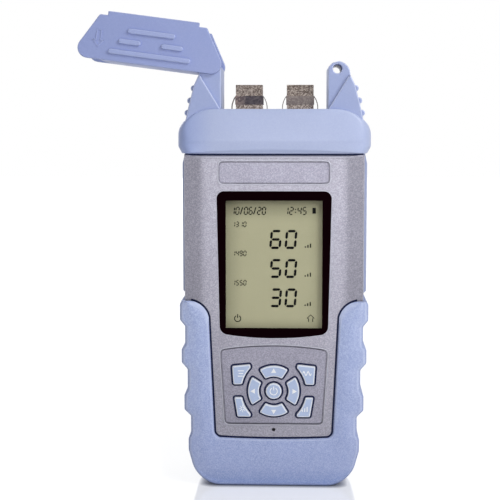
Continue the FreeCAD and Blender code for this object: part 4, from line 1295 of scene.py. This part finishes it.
@dataclass
class DustCover:
    """Swinging cover: two plates with raised bars, the wall between them and its two bosses."""

    pivot: tuple[float, float] = (-29.1, 196.0)
    angle: float = -172.5
    outer: float = 17.0
    plate: float = 2.0
    edge: float = 0.5
    sunk: float = 0.2
    bar: float = 1.15
    bar_height: float = 1.3
    bar_edge: float = 0.6
    boss: float = 2.02
    boss_long: float = 4.0
    arrow_height: float = 0.3
    arrow: tuple[tuple[float, float], ...] = ((23.1, 184.9), (25.1, 184.9), (25.1, 189.6), (26.6, 189.6),
                                              (24.1, 192.6), (21.6, 189.6), (23.1, 189.6))
    wall: tuple[tuple[float, float], ...] = ((-22.8, 196.7), (22.8, 196.7), (22.8, 198.5), (-22.8, 198.5))
    bars: tuple[tuple[float, float, float], ...] = (  # left end, right end and height of each
        (-11.0, 11.2, 183.9), (4.4, 14.9, 189.0), (-15.2, -4.9, 189.0), (-19.3, 19.1, 194.1))

    def swing(self, points: Array) -> None:
        """Turns points about the pivot, from the closed to the open place.

        Args:
            points: the points, which are changed.
        """
        turn = math.radians(self.angle)
        x, z = points[:, 0] - self.pivot[0], points[:, 2] - self.pivot[1]
        points[:, 0] = self.pivot[0] + x * math.cos(turn) + z * math.sin(turn)
        points[:, 2] = self.pivot[1] - x * math.sin(turn) + z * math.cos(turn)

    def build(self) -> None:
        """Builds and dresses it: both plates with their bars, arrow and boss, and the wall between them."""
        surface = Surface()
        half = np.vstack([[(21.2, 176.0), (21.2, 177.9), (24.9, 177.9)], bulge((32.8, 191.3), (29.0, 198.5), 4.7, 1)])
        plate = soften(resample(mirrored(half), 420), 0.35)
        for side in (-1, 1):
            face = side * self.outer
            below = face - side * self.sunk
            under = face - side * self.plate
            surface.slab(plate, *sorted((face, under)), self.edge)
            for x0, x1, z in self.bars:
                ends = [arc((x1 - self.bar, z), self.bar, -90.0, 90.0, 14),
                        arc((x0 + self.bar, z), self.bar, 90.0, 270.0, 14)]
                depths = sorted((face + side * self.bar_height, below))
                surface.slab(resample(np.vstack(ends), 120), *depths, self.bar_edge)
            depths = sorted((face + side * self.arrow_height, below))
            surface.ribbon(resample(np.array(self.arrow), 160), 0.5, *depths, closed=True)
            depths = sorted((under, face - side * (self.plate + self.boss_long)))
            surface.slab(circle(self.pivot, self.boss), *depths, 0.25)
        wall = soften(resample(np.array(self.wall), 300), 0.2)
        surface.slab(wall, 0.1 - self.outer + self.plate, self.outer - self.plate - 0.1, 0.05)
        for block in surface.points:
            self.swing(block)
        surface.build("swing_cover", "cap_blue", Finishes.COVER, "cover", 26.0, ("dust_cover",))


# ---------------------------------------------------------------- adapters


@dataclass
class SpringClip:
    """Sheet-metal clip round an adapter: a plate before and behind it, a band each side and two sprung wings."""

    middle: float = 12.0
    half: float = 6.3
    deep: float = 4.7
    sheet: float = 0.3
    rise: tuple[float, float] = (179.8, 183.9)
    band: float = 1.0
    wing_half: float = 2.6
    wing_low: float = 177.9
    wing_reach: float = 1.9
    wing_bow: float = 9.0

    def build(self) -> None:
        """Builds and dresses both clips."""
        low, high = self.rise
        outer, tip = self.half + self.sheet, self.half + self.wing_reach
        plate = oblong(outer, self.rise)
        strip = np.array([(self.half, high - self.band), (outer, high - self.band), (outer, high), (self.half, high)])
        wing = np.vstack([bulge((outer, high), (tip + self.sheet, self.wing_low), self.wing_bow, -1),
                          bulge((tip, self.wing_low), (self.half, high), self.wing_bow + self.sheet, 1)])[::-1]
        for hand, side, finish in ((-1, "left", Finishes.CLIP), (1, "right", Finishes.CLIP_PALE)):
            surface = Surface()
            place = (hand * self.middle, 0.0)
            for near in (-self.deep - self.sheet, self.deep):
                surface.slab(plate + place, near, near + self.sheet)
            for shape, reach in ((strip, self.deep + 0.1), (wing, self.wing_half)):
                for half in (shape, flipped(shape)):
                    surface.slab(half + place, -reach, reach)
            surface.build(f"clip_{side}", "spring_steel", finish, replaces=(f"adapter_clip_{side}",))


# ---------------------------------------------------------------- boot


@dataclass
class Boot:
    """Soft boot: a C-shaped section carried round the lower casing from lug to lug."""

    front: float = -20.6
    back: float = 21.5
    casing_front: float = -19.0
    casing_back: float = 20.0
    top: float = 88.5
    stations: int = 420
    outside_round: float = 2.4
    fall: float = 1.2
    crown: float = 0.5
    face_round: float = 2.4
    lip_start: float = 76.0
    hidden: float = 1.4
    tip: float = 43.2
    lugs: tuple[tuple[float, float], ...] = (
        (40.3, 17.0), (40.3, 22.5), (39.1, 25.0), (39.1, 33.5), (42.2, 36.5), (42.2, 43.4), (40.6, 46.0),
        (40.6, 55.8), (43.4, 59.0), (43.4, 65.3), (41.7, 67.2), (41.7, 76.3), (44.1, 79.2), (44.1, 86.6))
    # a point of the outside and the point of the mouth's edge that belongs to it
    pairs: tuple[tuple[tuple[float, float], tuple[float, float]], ...] = (
        ((0.0, 0.0), (0.0, 22.9)), ((24.5, 0.0), (23.5, 23.5)), ((38.8, 11.5), (27.6, 25.4)),
        ((40.3, 22.5), (28.05, 27.6)), ((39.1, 33.5), (28.3, 33.5)), ((40.6, 55.8), (29.3, 56.0)),
        ((41.7, 76.3), (30.3, 76.5)), ((44.1, 86.6), (35.3, 86.6)))

    def paths(self) -> tuple[Array, Array]:
        """Matching points of the outside and of the mouth's edge, from the bottom's middle up the right side.

        Returns:
            The outside's points and the mouth's.
        """
        corner = arc((24.5, 14.64), 14.64, -90.0, -12.4, 24)
        outer = np.vstack([[(0.0, 0.0)], corner, self.lugs, [(self.tip, self.top)]])
        bow = [(x, 22.9 + 0.6 * (x / 24.7) ** 2) for x in np.linspace(0.0, 22.0, 9)]
        low = bulge((24.7, 23.5), (28.0, 26.9), 3.4, 1, 10)
        shoulder = bulge((30.5, 80.8), (40.6, self.top), 9.9, -1, 20)
        return self.matched(outer, np.vstack([bow, low, shoulder]))

    def mouth(self) -> Array:
        """The whole edge of the mouth, from the left lug to the right one."""
        return both_sides(self.paths()[1])

    def matched(self, outer: Array, inner: Array) -> tuple[Array, Array]:
        """Resamples both paths so that the pairs of points stay together.

        Args:
            outer: the outside.
            inner: the mouth's edge.

        Returns:
            Both, with as many points as there are stations.
        """
        last = FINE_STEPS - 1
        fine_out, fine_in = resample(outer, FINE_STEPS, False), resample(inner, FINE_STEPS, False)
        at_out = np.array([np.argmin(((fine_out - p) ** 2).sum(1)) for p, _ in self.pairs] + [last], float)
        at_in = np.array([np.argmin(((fine_in - q) ** 2).sum(1)) for _, q in self.pairs] + [last], float)
        steps = np.linspace(0, last, self.stations)
        return fine_out[steps.astype(int)], fine_in[np.interp(steps, at_out, at_in).astype(int)]

    def section(self, width: Array, near_top: Array, face_y: float, casing_y: float) -> tuple[Array, Array]:
        """One face of the section at each station, from the lip to the outer side.

        The lip's depth is lip_deep * (1 - share)^(2 - 0.8 near_top) with share = 2 sin^2(turn / 2). The
        face is crown * (1 - sin(pi s)) + fall * s^2 deep at the share s of the way, and the side is a
        quarter turn.

        Args:
            width: from the mouth's edge to the outside, as a column.
            near_top: 0 below the last lugs and 1 at the top, as a column.
            face_y, casing_y: the Y of the boot's face and of the casing under it.

        Returns:
            The distance from the mouth's edge and the Y, stations by points.
        """
        sign = math.copysign(1.0, casing_y - face_y)
        lip = np.minimum(1.0 + 1.8 * near_top, width * 0.3)
        side = np.minimum(self.outside_round, width * 0.42)
        turn = np.linspace(0.0, math.pi / 2, 8)[None, :]
        steps = np.linspace(0.0, 1.0, 9)[None, 1:-1]
        share = np.sin(turn / 2) ** 2 * 2
        lip_deep = min(0.9, abs(face_y - casing_y) * 0.8)
        y_lip = face_y + sign * (self.crown + lip_deep * (1 - share) ** (2.0 - 0.8 * near_top))
        end = width - side
        fall = self.fall * np.clip(width / 22.0, 0, 1) ** 2
        y_face = face_y + sign * (self.crown * (1 - np.sin(steps * math.pi)) + fall * steps**2)
        y_side = face_y + sign * (self.crown + fall + self.face_round * (1 - np.cos(turn)))
        u = np.hstack([np.zeros_like(lip), lip * share, lip + (end - lip) * steps, end + side * np.sin(turn)])
        return u, np.hstack([np.full_like(lip, casing_y), y_lip, y_face, y_side])

    def build(self) -> None:
        """Builds and dresses it: both faces' sections on each station, joined behind the mouth's edge."""
        out, mouth = self.paths()
        inner = both_sides(mouth)
        across = soften(both_sides(out), 0.6, False) - inner
        width = np.linalg.norm(across, axis=1, keepdims=True)
        ways = across / width
        near_top = np.clip((inner[:, 1:] - self.lip_start) / 8.0, 0, 1)
        u_front, y_front = self.section(width, near_top, self.front, self.casing_front)
        u_back, y_back = self.section(width, near_top, self.back, self.casing_back)
        hidden = np.maximum(width - self.hidden, 0.1)
        behind = [np.full_like(hidden, y) for y in (self.casing_back, self.casing_front)]
        u = np.hstack([u_front, u_back[:, ::-1], hidden, hidden])
        y = np.hstack([y_front, y_back[:, ::-1], *behind])
        surface = Surface()
        points = np.stack([inner[:, :1] + ways[:, :1] * u, y, inner[:, 1:] + ways[:, 1:] * u], -1)
        surface.close(surface.grid(points), axes=(0, 1))
        surface.build("soft_boot", "boot_blue", Finishes.BOOT, crease=32.0, replaces=("bumper_boot",))


# ---------------------------------------------------------------- CAD nodes, stage and main


NODE_STEMS: dict[Finishes, str] = {
    Finishes.REAR: "rear_shell battery_door", Finishes.PAINT: "front_shell", Finishes.BOOT: "bumper_boot",
    Finishes.CAP: "top_cap", Finishes.EAR: "cap_ear", Finishes.COVER: "dust_cover", Finishes.KEY: "key_",
    Finishes.BEZEL: "display_bezel", Finishes.WINDOW: "display_lens", Finishes.DISPLAY: "lcd_panel",
    Finishes.WHITE: "backlight light_clips", Finishes.RUBBER: "contact_strip", Finishes.GAP: "keypad_mat",
    Finishes.ADAPTER: "sc_adapter", Finishes.CLIP: "adapter_clip", Finishes.CLIP_PALE: "adapter_clip_right",
    Finishes.CERAMIC: "ferrule_sleeve", Finishes.GILT: "detector", Finishes.BOARD: "main_board",
    Finishes.BLACK: "buzzer", Finishes.CELL: "battery_cell",
    Finishes.STEEL: "adapter_plate contacts case_screws board_screws door_screw plate_screws",
}


def dress_nodes() -> None:
    """Gives every CAD node its finish, by the longest stem that its name starts with."""
    finishes = {stem: finish.value for finish, stems in NODE_STEMS.items() for stem in stems.split()}
    for name, node in NODES.items():
        finish = finishes[max((stem for stem in finishes if name.startswith(stem)), key=len)]
        for place in node.material_slots:
            place.material = finish.material()
        log.info("%s: finish %s", name, finish.name)


@dataclass
class Studio:
    """White studio: a pale floor, soft lamps and the camera in front of the meter."""

    camera_place: tuple[float, float, float] = (0.008, -0.575, 0.166)
    pitch: float = 5.51
    turn: float = 1.971
    lens: float = 86.57
    ambient: float = 0.31
    floor_half: float = 4.0
    floor_glow: float = 0.52
    contact_reach: float = 0.0035

    def world(self) -> None:
        """Plain ambient light; rays that are seen directly or in a reflection find white."""
        world = bpy.data.worlds.new("studio_world")
        world.use_nodes = True
        world.node_tree.nodes.clear()
        wires = Wiring(world.node_tree)
        soft = wires.add("Background", {"Color": (0.97, 0.98, 1.0, 1.0), "Strength": self.ambient})
        white = wires.add("Background", {"Color": WHITE_LIGHT})
        mix = wires.add("MixShader", {"Fac": self.seen(wires), 1: soft.outputs[0], 2: white.outputs[0]})
        wires.add("OutputWorld", {"Surface": mix.outputs[0]})
        bpy.context.scene.world = world

    def seen(self, wires: Wiring) -> bpy.types.NodeSocket:
        """1 for a camera, glossy or transmission ray.

        Args:
            wires: the tree.

        Returns:
            The value.
        """
        path = wires.add("LightPath").outputs
        reflected = wires.math("MAXIMUM", path["Is Camera Ray"], path["Is Glossy Ray"])
        return wires.math("MAXIMUM", reflected, path["Is Transmission Ray"])

    def floor(self) -> None:
        """Pale floor that glows for rays that are seen, by 1 - shade near the meter, and keeps the shadow."""
        size = self.floor_half
        mesh = bpy.data.meshes.new("studio_floor")
        mesh.from_pydata([(-size, -size, 0), (size, -size, 0), (size, size, 0), (-size, size, 0)], [], [(0, 1, 2, 3)])
        material = bpy.data.materials.new("studio_floor")
        material.use_nodes = True
        wires = Wiring(material.node_tree)
        near = wires.add("AmbientOcclusion", {"Distance": self.contact_reach})
        open_part = wires.math("POWER", near.outputs["AO"], 2.0)
        glow = wires.math("MULTIPLY", wires.math("MULTIPLY", self.seen(wires), open_part), self.floor_glow)
        wires.feed(material.node_tree.nodes["Principled BSDF"], {
            "Base Color": (0.36, 0.365, 0.38, 1.0), "Roughness": 0.08, "IOR": 2.3, "Specular IOR Level": 1.0,
            "Emission Color": WHITE_LIGHT, "Emission Strength": glow,
        })
        mesh.materials.append(material)
        plane = bpy.data.objects.new("studio_floor", mesh)
        bpy.context.scene.collection.objects.link(plane)

    def lamp(self, name: str, place: tuple[float, float, float], aim: float, size: float, power: float) -> None:
        """Hangs one soft square lamp, turned to the middle of the meter.

        Args:
            name: its name.
            place: its place, in metres.
            aim: the height to which it is turned.
            size, power: its side and its strength.
        """
        light = bpy.data.lights.new(name, "AREA")
        light.size, light.energy = size, power
        lamp = bpy.data.objects.new(name, light)
        lamp.location = place
        lamp.rotation_euler = (Vector((0.0, 0.0, aim)) - Vector(place)).to_track_quat("-Z", "Y").to_euler()
        bpy.context.scene.collection.objects.link(lamp)

    def camera(self) -> None:
        """The camera, a little below the cap's height and turned slightly to the left."""
        data = bpy.data.cameras.new("camera")
        data.lens, data.sensor_width = self.lens, 36.0
        data.clip_start, data.clip_end = 0.01, 20.0
        camera = bpy.data.objects.new("camera", data)
        camera.location = self.camera_place
        camera.rotation_euler = (math.radians(90.0 - self.pitch), 0.0, math.radians(self.turn))
        bpy.context.scene.collection.objects.link(camera)
        bpy.context.scene.camera = camera

    def build(self) -> None:
        """Builds everything round the meter."""
        self.world()
        self.floor()
        self.lamp("lamp_right", (0.42, -0.40, 0.50), 0.14, 0.26, 2.1)
        self.lamp("lamp_front", (0.02, -0.66, 0.22), 0.13, 0.12, 0.58)
        self.lamp("lamp_low", (0.03, -0.42, 0.035), 0.09, 0.12, 0.14)
        self.lamp("lamp_back", (-0.35, 0.85, 0.5), 0.1, 0.45, 1.3)
        self.lamp("lamp_top", (0.1, 0.15, 0.9), 0.1, 0.8, 0.7)
        self.camera()
        bpy.context.scene.view_settings.view_transform = "Standard"


def main() -> None:
    """Builds the meter piece by piece."""
    logging.basicConfig(level=logging.INFO, format="%(name)s %(message)s")
    dress_nodes()
    keypad = Keypad()
    boot = Boot()
    bezel = Bezel()
    FrontShell().build(keypad, bezel, boot.mouth())
    keypad.build()
    bezel.build()
    Display().build()
    TopCap().build()
    SpringClip().build()
    DustCover().build()
    boot.build()
    Studio().build()


if __name__ == "__main__":
    main()
